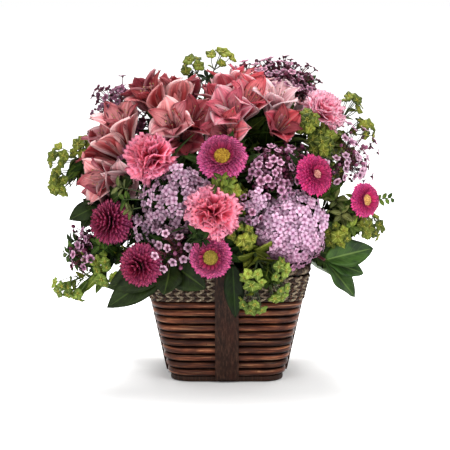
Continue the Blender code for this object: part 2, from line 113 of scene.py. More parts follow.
# Flowers, in millimetres: middle, turn, lift, radius
ASTERS = [
    ((-5, -116, 252), -3, 30, 27),
    ((94, -98, 231), 36, 18, 23),
    ((150, -60, 199), 52, 8, 19.5),
    ((-17, -133, 148), -6, 2, 23),
    ((-124, -68, 176), -55, 8, 23),
    ((-90, -113, 137), -28, -6, 22),
    ((76, 104, 222), 146, 24, 24),
    ((-84, 104, 182), 220, 12, 24),
]
CARNATIONS = [
    ((-84, -86, 249), -38, 28, 25),
    ((-15, -138, 196), -4, 12, 26),
    ((107, -30, 294), 50, 45, 23),
    ((6, 88, 280), 178, 42, 26),
]
HYDRANGEAS = [
    ((-54, -84, 199), -25, 18, 36),
    ((66, -82, 172), 28, 8, 41),
    ((-2, 90, 192), 178, 14, 42),
]
# Loose florets around the first two heads: the middle of each few
HYDRANGEA_STRAYS = {
    1: [
        (-86, -78, 180), (-78, -86, 167), (-66, -92, 160), (-86, -90, 170), (-46, -110, 231),
        (-40, -112, 223), (-30, -112, 216), (-50, -108, 222),
    ],
    2: [(23, -110, 200), (31, -114, 206), (21, -108, 190)],
}
# Fork, then the mouths of the blooms
ALSTROEMERIAS = {
    "top_left": ((-50, -22, 258), [(-88, -40, 318), (-55, -18, 323), (-60, -76, 288), (-32, -62, 290)]),
    "top_centre": ((8, -12, 262), [(2, -66, 300), (26, -46, 312), (3, -4, 328)]),
    "right": ((44, -16, 254), [(62, -66, 285), (54, -38, 311)]),
    "left": ((-98, -16, 222), [(-117, -42, 288), (-141, -48, 221), (-149, -14, 252)]),
    "back": ((44, 48, 250), [(66, 84, 296), (92, 44, 292)]),
}
# Fork, turn, lift, reach, spread, florets
WAXFLOWERS = {
    "centre": ((42, -74, 222), 22, 36, 34, 44, 68),
    "top": ((60, 18, 298), 60, 78, 36, 44, 96),
    "top_left": ((-108, -2, 280), -78, 50, 44, 30, 32),
    "right": ((120, -24, 232), 72, 26, 40, 40, 40),
    "low_centre": ((-50, -98, 150), -14, 4, 38, 34, 15),
    "low_left": ((-126, -34, 150), -76, -8, 42, 28, 30),
    "back": ((-58, 58, 246), 224, 38, 44, 42, 60),
}
# Fork, then the ruffs
BUPLEURUMS = {
    "left": ((-140, 16, 230), [(-163, -6, 254), (-190, -16, 242), (-189, -12, 213), (-190, -12, 205)]),
    "top": ((-24, 12, 312), [(-41, -2, 346), (-4, -4, 354)]),
    "right_top": ((112, -4, 256), [(86, -64, 285), (101, -68, 262), (142, -5, 304), (157, -5, 275)]),
    "centre": ((14, -88, 196), [(-3, -127, 221), (17, -128, 166)]),
    "right_low": ((126, -32, 164), [(118, -83, 163), (154, -44, 168), (168, -30, 166)]),
    "spill": ((32, -106, 141), [(26, -125, 118), (25, -116, 90), (61, -114, 131), (57, -112, 103)]),
    "left_low": ((-126, -50, 130), [(-182, -52, 98), (-134, -72, 115), (-141, -62, 133), (-167, -54, 97)]),
    "back": ((100, 52, 222), [(142, 62, 238), (126, 84, 206), (132, 40, 258)]),
}
# Stem end, its turn and lift, then each leaf's tip and width
SALALS = {
    "low_left": (
        (-58, -103, 137), -20, -8,
        [((-128, -90, 87), 36), ((-22, -122, 113), 36), ((-66, -119, 106), 34), ((-127, -87, 108), 38)],
    ),
    "low_right": (
        (104, -86, 138), 28, -8, [((137, -82, 97), 46), ((158, -62, 147), 34), ((147, -72, 121), 36)],
    ),
    "low_centre": ((6, -106, 137), 3, -12, [((9, -112, 80), 22)]),
    "left": ((-138, -44, 192), -74, 4, [((-171, -48, 176), 22), ((-158, -48, 166), 18)]),
    "back_left": ((-58, 103, 138), 212, -8, [((-122, 90, 88), 40), ((-24, 118, 88), 32)]),
    "back_right": ((66, 103, 138), 146, -8, [((124, 90, 90), 40), ((36, 118, 86), 32)]),
}
# Side forks of a waxflower spray: fork, turn, lift, reach, spread, florets
WAX_ARMS = {
    "centre": [((66, -62, 244), 40, 40, 19, 40, 9), ((20, -92, 197), 4, -8, 22, 44, 14)],
    "low_left": [((-142, -42, 138), -60, 4, 30, 34, 14)],
    "right": [((116, -44, 228), 34, 14, 22, 44, 10)],
    "top": [((28, 14, 316), -64, 66, 23, 46, 16)],
    "top_left": [
        ((-96, -4, 270), 4, 46, 22, 46, 13), ((-104, -34, 238), 10, 30, 18, 40, 6),
        ((-108, -2, 282), -40, 74, 36, 12, 4),
    ],
}
# Leafy tips on twigs of their own: place, leaves, leaf length, finish
TUFTS = {
    "waxflower_low_centre": [
        ((-31, -151, 176), 7, 12, "dark_leaf"), ((-24, -152, 170), 6, 11, "dark_leaf"),
        ((-98, -82, 157), 9, 18, "dark_leaf"),
    ],
    "waxflower_low_left": [
        ((-166, -50, 142), 8, 14, "mid_leaf"), ((-156, -52, 134), 8, 14, "fresh_green"),
        ((-124, -60, 141), 9, 18, "dark_leaf"), ((-169, -46, 152), 9, 14, "dark_leaf"),
        ((-137, -62, 150), 9, 16, "mid_leaf"), ((-146, -58, 128), 8, 15, "dark_leaf"),
        ((-160, -46, 128), 7, 13, "grey_leaf"), ((-150, -50, 146), 7, 15, "dark_leaf"),
        ((-174, -48, 138), 7, 12, "mid_leaf"), ((-168, -50, 130), 6, 12, "grey_leaf"),
    ],
    "hydrangea_1": [
        ((-115, -92, 217), 7, 13, "olive_leaf"), ((-109, -94, 204), 7, 12, "mid_leaf"),
        ((-104, -96, 193), 6, 12, "olive_leaf"),
    ],
    "bupleurum_top": [((-40, 0, 322), 6, 14, "dark_leaf"), ((-22, 2, 327), 6, 14, "dark_leaf")],
    "bupleurum_centre": [
        ((-6, -137, 231), 5, 10, "yellow_green"), ((-12, -137, 222), 7, 13, "yellow_green"),
        ((0, -137, 223), 7, 13, "fresh_green"),
    ],
    "bupleurum_right_low": [
        ((116, -66, 202), 8, 15, "olive_leaf"), ((128, -62, 195), 8, 14, "mid_leaf"),
        ((136, -56, 187), 8, 14, "olive_leaf"), ((123, -68, 186), 8, 14, "olive_leaf"),
        ((139, -50, 200), 6, 12, "fresh_green"), ((133, -64, 170), 7, 13, "fresh_green"),
        ((151, -46, 172), 7, 12, "olive_leaf"), ((110, -66, 209), 7, 14, "mid_leaf"),
    ],
    "alstroemeria_right": [((104, -58, 262), 6, 15, "mid_leaf"), ((92, -56, 250), 7, 15, "dark_leaf")],
}
# Blooms half hidden behind a spray's others: mouth, outer petals
BLOOMS_BEHIND = {
    "top_left": [
        ((-74, -6, 314), "rose_red"), ((-50, -4, 317), "crimson_rose"), ((-96, -12, 320), "crimson_rose"),
        ((-48, -50, 265), "crimson_rose"),
    ],
    "left": [((-132, -32, 270), "rose_red"), ((-144, -34, 200), "rose_red"), ((-112, -50, 217), "blush")],
    "top_centre": [
        ((24, -14, 330), "coral_red"), ((-3, -66, 276), "coral_red"), ((-8, -10, 314), "coral_red"),
    ],
}
# Buds beside a spray's blooms: the tip of each
SINGLE_BUDS = {
    "top_left": [(-76, -20, 326), (-44, -14, 326), (-102, -30, 306)],
    "top_centre": [(13, -18, 330), (-14, -20, 314), (3, -72, 276), (-3, -74, 266)],
}
# Leaves low on a stem that hide the foam: each one's tip
COLLAR_LEAVES = {
    "bupleurum_left": [
        (-92, -44, 137), (-94, -24, 134), (-95, -4, 134), (-95, 16, 134), (-94, 36, 134), (-90, 54, 138),
    ],
    "bupleurum_back": [(93, 6, 138), (95, 24, 134), (95, 44, 134), (90, 62, 138)],
    "hydrangea_3": [(-22, 94, 138), (-4, 96, 135), (14, 95, 137)],
}
# Single leaves that fill the gaps between the flowers: root, tip, width, finish
SINGLE_LEAVES = {
    "alstroemeria_top_left": [
        ((-54, -16, 262), (-93, -14, 303), 17, "dark_leaf"),
        ((-56, -14, 256), (-88, -12, 284), 18, "dark_leaf"),
        ((-50, -14, 262), (-76, -8, 312), 16, "dark_leaf"),
        ((-48, -12, 264), (-50, -6, 316), 17, "dark_leaf"),
        ((-46, -14, 262), (-30, -20, 306), 18, "dark_leaf"),
        ((-44, -16, 258), (-16, -18, 312), 15, "mid_leaf"),
        ((-52, -20, 252), (-102, -18, 272), 16, "mid_leaf"),
        ((-44, -18, 256), (-44, -40, 300), 18, "dark_leaf"),
    ],
    "alstroemeria_top_centre": [
        ((6, -8, 266), (-18, 0, 333), 17, "dark_leaf"), ((6, -6, 266), (-22, -6, 312), 18, "mid_leaf"),
        ((8, -8, 264), (18, -10, 326), 17, "dark_leaf"),
        ((12, -10, 262), (38, -26, 300), 17, "dark_leaf"),
        ((12, -12, 260), (42, -34, 288), 16, "mid_leaf"),
    ],
    "alstroemeria_right": [
        ((44, -12, 256), (36, -28, 300), 18, "dark_leaf"),
        ((46, -12, 256), (72, -26, 304), 18, "mid_leaf"),
        ((48, -12, 252), (80, -36, 292), 17, "dark_leaf"),
        ((42, -18, 248), (44, -48, 280), 18, "dark_leaf"),
        ((50, -14, 250), (84, -40, 266), 18, "dark_leaf"),
        ((48, -16, 246), (66, -48, 252), 18, "mid_leaf"),
    ],
    "alstroemeria_left": [
        ((-104, -18, 222), (-132, -10, 262), 18, "dark_leaf"),
        ((-100, -18, 224), (-112, -20, 272), 18, "dark_leaf"),
        ((-98, -20, 222), (-100, -34, 262), 17, "mid_leaf"),
        ((-104, -20, 216), (-142, -22, 226), 18, "dark_leaf"),
    ],
    "waxflower_top": [
        ((78, 20, 312), (99, 20, 329), 12, "dark_leaf"), ((74, 22, 306), (94, 16, 312), 11, "mid_leaf"),
    ],
    "bupleurum_left": [
        ((-146, 6, 234), (-166, -10, 210), 15, "dark_leaf"),
        ((-148, 4, 238), (-175, -10, 226), 15, "dark_leaf"),
        ((-142, 10, 236), (-158, 0, 248), 12, "mid_leaf"),
        ((-160, 0, 232), (-178, -12, 216), 13, "mid_leaf"),
    ],
    "bupleurum_left_low": [
        ((-132, -58, 124), (-158, -56, 96), 9, "fresh_green"),
        ((-130, -60, 122), (-142, -66, 98), 9, "mid_leaf"),
        ((-150, -56, 112), (-166, -56, 88), 9, "mid_leaf"),
        ((-122, -54, 132), (-108, -84, 142), 14, "dark_leaf"),
        ((-118, -54, 138), (-124, -80, 150), 13, "dark_leaf"),
    ],
    "bupleurum_right_low": [
        ((126, -36, 166), (118, -62, 190), 15, "mid_leaf"),
        ((128, -34, 168), (136, -46, 200), 14, "mid_leaf"),
        ((130, -34, 166), (148, -46, 186), 14, "grey_leaf"),
        ((130, -38, 160), (144, -58, 168), 14, "mid_leaf"),
        ((122, -42, 158), (110, -78, 176), 14, "grey_leaf"),
    ],
}
# The turn of a stem's hole in the foam, where it isn't the turn of its flower
HOLE_TURNS = {
    "aster_2": 56, "aster_5": -57, "aster_6": -44, "carnation_1": -60, "carnation_2": 3,
    "bupleurum_left_low": -65, "bupleurum_right_low": 86, "bupleurum_spill": 12,
    "waxflower_low_centre": -24, "waxflower_low_left": -84, "salal_left": -74,
    "salal_low_left": -36, "salal_low_right": 74, "salal_back_right": 146, "salal_back_left": 222,
}


# Places and directions

def direction(turn, lift):
    """The front, -Y, turned towards +X and lifted, in degrees."""
    turn, lift = math.radians(turn), math.radians(lift)
    return Vector((math.sin(turn) * math.cos(lift), -math.cos(turn) * math.cos(lift), math.sin(lift)))


def from_mm(place):
    return Vector(place) * MM


def facing(place, towards, spin=0.0):
    """A matrix that moves to a place and turns +Z towards a direction."""
    turned = towards.to_track_quat("Z", "Y").to_matrix().to_4x4()
    return Matrix.Translation(place) @ turned @ Matrix.Rotation(spin, 4, "Z")


def spot(place, way, up, width, length, tone=0.0):
    """Place, turn, size and tone of a shape that grows along way, with its upper side towards up."""
    way = way.normalized()
    side = way.cross(up)
    if side.length < 1e-6:
        side = way.orthogonal()
    side.normalize()
    turned = Matrix((side, way, side.cross(way))).transposed().to_4x4()
    return place, turned.to_quaternion(), (width, length, (width + length) / 2), tone


def spot_of(matrix, size, tone=0.0):
    """Place, turn, size and tone of a shape that a matrix moves and turns."""
    return matrix.to_translation(), matrix.to_quaternion(), (size, size, size), tone


def widened(made, share):
    """The same spot with a wider shape."""
    place, turn, (width, length, depth), tone = made
    return place, turn, (width * share, length, depth), tone


def spoke(angle):
    """A direction square to +Z, at an angle from +X."""
    return Vector((math.cos(angle), math.sin(angle), 0))


def on_a_dome(tilt, angle):
    """A direction tilted away from +Z, at an angle round it."""
    return Vector((math.sin(tilt) * math.cos(angle), math.sin(tilt) * math.sin(angle), math.cos(tilt)))


def beside(way, angle):
    """A direction square to a way, at an angle round it."""
    return (Matrix.Rotation(angle, 3, way) @ way.orthogonal()).normalized()


def any_way(rng):
    """A random direction, up to one unit along each axis."""
    return Vector([rng.uniform(-1, 1) for _ in range(3)])


def unevenness(place, closeness, level):
    """A smooth random value for a place on the basket."""
    return noise.noise(Vector((place.x * closeness, place.y * closeness, level)))


def half_width(height):
    """Half the basket's width at a height."""
    return FLOOR_HALF + (RIM_HALF - FLOOR_HALF) * height / RIM_HEIGHT


def rounded_square(half, corner, corner_steps, side_steps):
    """Points round a square with round corners, anticlockwise from its +X side."""
    points = []
    for quarter in range(4):
        middle = math.pi / 4 + quarter * math.pi / 2
        centre = Vector((math.cos(middle), math.sin(middle))) * math.sqrt(2) * (half - corner)
        for step in range(corner_steps + 1):
            angle = math.pi / 2 * (quarter + step / corner_steps)
            points.append(centre + corner * Vector((math.cos(angle), math.sin(angle))))
        turn = math.pi / 2 * (quarter + 1)
        along = Vector((-math.sin(turn), math.cos(turn))) * 2 * (half - corner)
        start = points[-1]
        for step in range(1, side_steps):
            points.append(start + along * step / side_steps)
    return points


def evenly(loop, count):
    """The same closed loop with evenly spaced points, and the outward direction at each."""
    lengths = [(b - a).length for a, b in zip(loop, loop[1:] + loop[:1])]
    total = sum(lengths)
    places = []
    index, passed = 0, 0.0
    for number in range(count):
        wanted = total * number / count
        while passed + lengths[index] < wanted:
            passed += lengths[index]
            index += 1
        start, end = loop[index], loop[(index + 1) % len(loop)]
        places.append(start.lerp(end, (wanted - passed) / lengths[index]))
    made = []
    for number, place in enumerate(places):
        run = places[(number + 1) % count] - places[number - 1]
        made.append((place, Vector((run.y, -run.x)).normalized()))
    return made


def stem_path(name, target, arrive, radius):
    """A stem's places and thicknesses, from the foam up to its target."""
    offset = target - Vector((0, 0, FOAM_TOP))
    turn = HOLE_TURNS.get(name, math.degrees(math.atan2(offset.x, -offset.y)))
    lift = math.degrees(math.asin(offset.z / offset.length))
    lean = min(MOST_LEAN, LEAN_SHARE * (90 - lift))
    mouth = direction(turn, 0) * HOLE_REACH * min(1.0, (90 - lift) / 95) + Vector((0, 0, FOAM_TOP))
    way = direction(turn, 90 - lean)
    depth = STEM_DEPTH * (1 - 0.45 * lean / 90)
    start = mouth + way * STEM_RISE
    hold = 0.36 * (target - start).length
    knots = (start, start + way * hold, target - arrive * hold, target)
    points = [(mouth - way * depth, radius), (start, radius)]
    for step in range(1, STEM_STEPS + 1):
        t = step / STEM_STEPS
        weights = ((1 - t) ** 3, 3 * t * (1 - t) ** 2, 3 * t * t * (1 - t), t**3)
        points.append((sum((w * k for w, k in zip(weights, knots)), Vector()), radius))
    return points


def bent(start, end, sag, radius, thin, steps):
    """A stalk from start to end, bowed along sag. Its end is as thick as thin says, as a share."""
    points = []
    for step in range(steps + 1):
        t = step / steps
        points.append((start.lerp(end, t) + sag * 4 * t * (1 - t), radius * (1 + (thin - 1) * t)))
    return points


def add_to_scene(thing):
    bpy.context.scene.collection.objects.link(thing)


# Node trees that set out shapes and run stalks along paths

def new_tree(name, inputs):
    tree = bpy.data.node_groups.new(name, "GeometryNodeTree")
    for title, kind in inputs:
        tree.interface.new_socket(name=title, in_out="INPUT", socket_type="NodeSocket" + kind)
    tree.interface.new_socket(name="Pieces", in_out="OUTPUT", socket_type="NodeSocketGeometry")
    return tree, tree.nodes.new("NodeGroupInput").outputs, tree.nodes.new("NodeGroupOutput").inputs


def step_node(tree, kind, feeds, **settings):
    made = tree.nodes.new(kind)
    for key, value in settings.items():
        setattr(made, key, value)
    for key, value in feeds.items():
        if isinstance(value, bpy.types.NodeSocket):
            tree.links.new(value, made.inputs[key])
        else:
            made.inputs[key].default_value = value
    return made


def read_value(tree, name, kind):
    return step_node(tree, "GeometryNodeInputNamedAttribute", {"Name": name}, data_type=kind).outputs[0]


def store_value(tree, shapes, name, value, domain):
    feeds = {"Geometry": shapes, "Name": name, "Value": value}
    made = step_node(tree, "GeometryNodeStoreNamedAttribute", feeds, data_type="FLOAT", domain=domain)
    return made.outputs[0]


def random_value(tree, least, most, seed):
    feeds = {"Min": least, "Max": most, "Seed": seed}
    return step_node(tree, "FunctionNodeRandomValue", feeds, data_type="FLOAT").outputs[1]


def end_tree(tree, shapes, finish, out):
    """Makes real meshes of what a tree has set out, and gives them their finish."""
    real = step_node(tree, "GeometryNodeRealizeInstances", {"Geometry": shapes})
    done = step_node(tree, "GeometryNodeSetMaterial", {"Geometry": real.outputs[0], "Material": finish})
    tree.links.new(done.outputs[0], out[0])
    return tree


def setting_tree():
    """Sets one shape on every spot, turned and sized as the spot says."""
    tree, given, out = new_tree("Set out shapes", [
        ("Spots", "Geometry"), ("Shape", "Object"), ("Size", "Float"),
        ("Size change", "Float"), ("Seed", "Int"), ("Finish", "Material"),
    ])
    least = step_node(tree, "ShaderNodeMath", {0: 1.0, 1: given["Size change"]}, operation="SUBTRACT")
    most = step_node(tree, "ShaderNodeMath", {0: 1.0, 1: given["Size change"]}, operation="ADD")
    change = random_value(tree, least.outputs[0], most.outputs[0], given["Seed"])
    scale = step_node(tree, "ShaderNodeMath", {0: change, 1: given["Size"]}, operation="MULTIPLY")
    sized = {0: read_value(tree, "size", "FLOAT_VECTOR"), "Scale": scale.outputs[0]}
    grown = step_node(tree, "ShaderNodeVectorMath", sized, operation="SCALE")
    shape = step_node(tree, "GeometryNodeObjectInfo", {"Object": given["Shape"]})
    put = step_node(tree, "GeometryNodeInstanceOnPoints", {
        "Points": given["Spots"], "Instance": shape.outputs["Geometry"],
        "Rotation": read_value(tree, "turned", "QUATERNION"), "Scale": grown.outputs[0],
    })
    pick = random_value(tree, 0.0, 1.0, given["Seed"])
    told = store_value(tree, put.outputs[0], "pick", pick, "INSTANCE")
    return end_tree(tree, told, given["Finish"], out)


def stalk_tree():
    """Runs a round stalk along every path, as thick as the path says."""
    inputs = [("Paths", "Geometry"), ("Sides", "Int"), ("Finish", "Material")]
    tree, given, out = new_tree("Run stalks", inputs)
    curve = step_node(tree, "GeometryNodeMeshToCurve", {"Mesh": given["Paths"]})
    length = tree.nodes.new("GeometryNodeSplineParameter")
    told = store_value(tree, curve.outputs[0], "along", length.outputs["Factor"], "POINT")
    ring = step_node(tree, "GeometryNodeCurvePrimitiveCircle", {"Resolution": given["Sides"], "Radius": 1.0})
    skin = step_node(tree, "GeometryNodeCurveToMesh", {
        "Curve": told, "Profile Curve": ring.outputs[0],
        "Scale": read_value(tree, "thick", "FLOAT"), "Fill Caps": True,
    })
    return end_tree(tree, skin.outputs[0], given["Finish"], out)


SETTING = setting_tree()
STALKS = stalk_tree()


def grown_from(name, start, tree, values):
    """Runs a node tree on a start mesh and keeps the result as a plain mesh."""
    seedling = bpy.data.objects.new(name + "_start", start)
    add_to_scene(seedling)
    modifier = seedling.modifiers.new("Grow", "NODES")
    modifier.node_group = tree
    sockets = {item.name: item.identifier for item in tree.interface.items_tree if item.in_out == "INPUT"}
    for title, value in values.items():
        modifier[sockets[title]] = value
    ready = bpy.context.evaluated_depsgraph_get()
    mesh = bpy.data.meshes.new_from_object(
        seedling.evaluated_get(ready), preserve_all_data_layers=True, depsgraph=ready,
    )
    seedling.modifiers.remove(modifier)
    bpy.data.objects.remove(seedling)
    for spent in ("turned", "size", "thick"):
        if spent in mesh.attributes:
            mesh.attributes.remove(mesh.attributes[spent])
    mesh.shade_smooth()
    made = bpy.data.objects.new(name, mesh)
    add_to_scene(made)
    return made


def set_out(name, shape, spots, finish, change=0.06, seed=1):
    """One shape on every spot, as one mesh, or nothing where there are no spots."""
    if not spots:
        return None
    start = bpy.data.meshes.new(name)
    start.from_pydata([place for place, _, _, _ in spots], [], [])
    turned = start.attributes.new("turned", "QUATERNION", "POINT")
    turned.data.foreach_set("value", [part for _, turn, _, _ in spots for part in turn])
    sizes = start.attributes.new("size", "FLOAT_VECTOR", "POINT")
    sizes.data.foreach_set("vector", [part for _, _, sized, _ in spots for part in sized])
    tones = start.attributes.new("tone", "FLOAT", "POINT")
    tones.data.foreach_set("value", [tone for _, _, _, tone in spots])
    values = {
        "Shape": SHAPES[shape], "Size": 1.0, "Size change": change, "Seed": seed, "Finish": FINISHES[finish],
    }
    return grown_from(name, start, SETTING, values)


def stalks(name, paths, finish, sides, closed=False, tones=None):
    """Round stalks along paths of places and thicknesses, as one mesh."""
    places, edges, thick, tone = [], [], [], []
    for number, path in enumerate(paths):
        first = len(places)
        places += [place for place, _ in path]
        thick += [radius for _, radius in path]
        tone += [tones[number] if tones else 0.0] * len(path)
        edges += [(first + i, first + i + 1) for i in range(len(path) - 1)]
        if closed:
            edges.append((len(places) - 1, first))
    start = bpy.data.meshes.new(name)
    start.from_pydata(places, edges, [])
    start.attributes.new("thick", "FLOAT", "POINT").data.foreach_set("value", thick)
    start.attributes.new("tone", "FLOAT", "POINT").data.foreach_set("value", tone)
    return grown_from(name, start, STALKS, {"Sides": sides, "Finish": FINISHES[finish]})


def joined(name, parts):
    """Makes one piece of its parts."""
    parts = [part for part in parts if part is not None]
    first = parts[0]
    with bpy.context.temp_override(
        active_object=first, object=first, selected_editable_objects=parts, selected_objects=parts,
    ):
        bpy.ops.object.join()
    first.name = name
    first.data.name = name
    return first


def put_in_place(piece, slot, *nodes):
    """The piece rides on the root body and stands for its nodes."""
    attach(piece, "root")
    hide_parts(*nodes)


# Shapes: each has a length of 1 along Y unless it says otherwise

def smooth_object(name, bm):
    mesh = bpy.data.meshes.new(name)
    bm.to_mesh(mesh)
    bm.free()
    mesh.shade_smooth()
    return bpy.data.objects.new(name, mesh)


def shape_object(name, bm):
    bmesh.ops.remove_doubles(bm, verts=bm.verts, dist=1e-4)
    bmesh.ops.recalc_face_normals(bm, faces=bm.faces)
    return smooth_object(name, bm)


def close_round(bm, rings):
    """Walls between rings of as many points each, and a face over both ends."""
    for low, high in zip(rings, rings[1:]):
        for k in range(len(low)):
            after = (k + 1) % len(low)
            bm.faces.new((low[k], low[after], high[after], high[k]))
    bm.faces.new(rings[0])
    bm.faces.new(rings[-1])


def add_blade(bm, steps, place, thick):
    """A thin closed petal or leaf whose middle surface is place(along, across)."""
    along_layer = bm.verts.layers.float.get("along") or bm.verts.layers.float.new("along")
    across_layer = bm.verts.layers.float.get("across") or bm.verts.layers.float.new("across")
    rows, lanes = steps
    grid = [
        [Vector(place(i / rows, 2 * j / lanes - 1)) for j in range(lanes + 1)]
        for i in range(rows + 1)
    ]
    upper, lower = {}, {}
    for i in range(rows + 1):
        for j in range(lanes + 1):
            onward = grid[min(i + 1, rows)][j] - grid[max(i - 1, 0)][j]
            sideways = grid[i][min(j + 1, lanes)] - grid[i][max(j - 1, 0)]
            normal = sideways.cross(onward)
            normal = normal.normalized() if normal.length > 1e-9 else Vector((0, 0, 1))
            border = i in (0, rows) or j in (0, lanes)
            for side, sign in ((upper, 0.5), (lower, -0.5)):
                if border and side is lower:
                    side[i, j] = upper[i, j]
                    continue
                vert = bm.verts.new(grid[i][j] + (Vector() if border else normal * thick * sign))
                vert[along_layer] = i / rows
                vert[across_layer] = 2 * j / lanes - 1
                side[i, j] = vert
    for i in range(rows):
        for j in range(lanes):
            ring = [(i, j), (i, j + 1), (i + 1, j + 1), (i + 1, j)]
            bm.faces.new([upper[key] for key in ring])
            bm.faces.new([lower[key] for key in reversed(ring)])


def blade(name, steps, place, thick):
    bm = bmesh.new()
    add_blade(bm, steps, place, thick)
    return shape_object(name, bm)


def add_turned(bm, profile, sides):
    """A round closed body from a profile of radius and height, on the Z axis."""
    rings = []
    for radius, height in profile:
        if radius < 1e-6:
            rings.append([bm.verts.new((0, 0, height))])
            continue
        angles = [math.tau * k / sides for k in range(sides)]
        rings.append([bm.verts.new((radius * math.cos(a), radius * math.sin(a), height)) for a in angles])
    for low, high in zip(rings, rings[1:]):
        for k in range(sides):
            after = (k + 1) % sides
            if len(low) == 1:
                bm.faces.new((low[0], high[after], high[k]))
            elif len(high) == 1:
                bm.faces.new((low[k], low[after], high[0]))
            else:
                bm.faces.new((low[k], low[after], high[after], high[k]))


def turned_shape(name, profile, sides):
    bm = bmesh.new()
    add_turned(bm, profile, sides)
    return shape_object(name, bm)


def blunt(s, root, full_at, shoulder):
    """A half width from 0 to 1: narrow at the root, full, then rounded off at the tip."""
    width = root + (1 - root) * min(1.0, s / full_at) ** 0.8
    if s > shoulder:
        part = (s - shoulder) / (1 - shoulder)
        width *= math.sqrt(max(0.0, 1 - part * part * 0.985))
    return width


def aster_petal():
    def place(s, t):
        half = 0.105 * blunt(s, 0.45, 0.45, 0.84)
        return (t * half, s, 0.05 * t * t * s - 0.10 * s * s + 0.05 * s)
    return blade("aster_petal", (7, 4), place, 0.012)


CARNATION_SHAPES = 3


def carnation_petal(number):
    """A fan with a ruffled, toothed edge."""
    wander = random.Random(SEED + number)
    slow, slow_start = wander.uniform(2.2, 3.4), wander.uniform(0, 6.28)
    fast, fast_start = wander.uniform(5, 7), wander.uniform(0, 6.28)

    def place(s, t):
        half = 0.07 + 0.50 * s**1.25
        ruffle = s**2 * (0.14 * math.sin(slow * t + slow_start) + 0.07 * math.sin(fast * t + fast_start))
        tooth = 0.035 * (1 if round((t + 1) * 7) % 2 else -1) * max(0.0, s - 0.75) / 0.25
        length = s * (1 - 0.13 * t * t) + tooth
        return (t * half, length, ruffle - 0.12 * s**3 + 0.10 * t * t * s)
    return blade(f"carnation_petal_{number}", (6, 14), place, 0.012)


def hydrangea_floret():
    """Four round petals round a bead, one unit across from middle to edge."""
    bm = bmesh.new()
    for number in range(4):
        turn = Matrix.Rotation(number * math.pi / 2 + 0.08, 4, "Z")

        def place(s, t, turn=turn, number=number):
            half = 0.44 * math.sin(math.pi * min(1.0, 0.06 + 0.84 * s)) ** 0.8
            lift = 0.10 * s - 0.06 * s * s + 0.10 * t * t * s + 0.05 * (number % 2)
            return turn @ Vector((t * half, 0.04 + 0.96 * s * (1 - 0.08 * t * t), lift))
        add_blade(bm, (4, 4), place, 0.03)
    add_turned(bm, [(0, -0.05), (0.09, 0.0), (0.09, 0.10), (0, 0.16)], 5)
    return shape_object("hydrangea_floret", bm)


TRUMPET_STEPS = 40


def trumpet_line(spread, first):
    """Distance from the axis and height along a trumpet's wall, 1 long."""
    line = [(0.03, 0.0)]
    for step in range(TRUMPET_STEPS):
        s = (step + 0.5) / TRUMPET_STEPS
        slope = math.radians(first + spread * s**1.7)
        radius, height = line[-1]
        line.append((radius + math.sin(slope) / TRUMPET_STEPS, height + math.cos(slope) / TRUMPET_STEPS))
    return line


TEPAL_CUP = 0.08


def alstroemeria_tepal(name, width, spread, first):
    """A pointed tepal that grows up the bloom's axis, +Z, and flares towards +Y."""
    line = trumpet_line(spread, first)

    def place(s, t):
        at = min(s * TRUMPET_STEPS, TRUMPET_STEPS - 0.001)
        index = int(at)
        (r0, z0), (r1, z1) = line[index], line[index + 1]
        radius, height = r0 + (r1 - r0) * (at - index), z0 + (z1 - z0) * (at - index)
        swell = math.sin(math.pi * min(1.0, s**1.35 * 0.86 + 0.10)) ** 0.9
        half = width * swell if s < 0.999 else width * 0.02
        if s > 0.9:
            half *= 1 - 0.65 * (s - 0.9) / 0.1
        crimp = 0.014 * math.sin(9 * s + 5 * t) * s + 0.016 * math.sin(11 * t + 4 * s) * s * s
        inward = TEPAL_CUP * t * t * s * (1 - 0.4 * s)
        return (t * half, radius - inward + crimp, height + inward * 0.5 + crimp)
    return blade(name, (11, 6), place, 0.012)


def flower_bud():
    """A closed alstroemeria bud, with the folds of its petals."""
    bm = bmesh.new()
    rings = []
    sides = 12
    for step in range(9):
        s = step / 8
        radius = 0.19 * math.sin(math.pi * (0.06 + 0.90 * s**0.85)) ** 0.9
        ring = []
        for k in range(sides):
            angle = math.tau * k / sides + 0.5 * s
            fold = radius * (1 + 0.10 * math.cos(3 * angle) * s)
            ring.append(bm.verts.new((fold * math.cos(angle), s, fold * math.sin(angle))))
        rings.append(ring)
    close_round(bm, rings)
    along_layer = bm.verts.layers.float.new("along")
    for vert in bm.verts:
        vert[along_layer] = vert.co.y
    return shape_object("flower_bud", bm)


def wax_petals():
    """Five round petals, one unit from middle to edge."""
    bm = bmesh.new()
    for number in range(5):
        turn = Matrix.Rotation(number * math.tau / 5, 4, "Z")

        def place(s, t, turn=turn):
            half = 0.50 * math.sin(math.pi * min(1.0, 0.22 + 0.70 * s)) ** 0.6
            lift = 0.05 + 0.20 * s - 0.10 * t * t
            return turn @ Vector((t * half, 0.22 + 0.78 * s * (1 - 0.06 * t * t), lift))
        add_blade(bm, (4, 4), place, 0.03)
    return shape_object("wax_petals", bm)


def wax_cup():
    """The cup in the middle of a waxflower, with its raised ring."""
    profile = [
        (0, -0.42), (0.14, -0.38), (0.27, -0.12), (0.33, 0.07),
        (0.29, 0.11), (0.22, 0.05), (0.10, 0.0), (0, 0.02),
    ]
    return turned_shape("wax_cup", profile, 9)


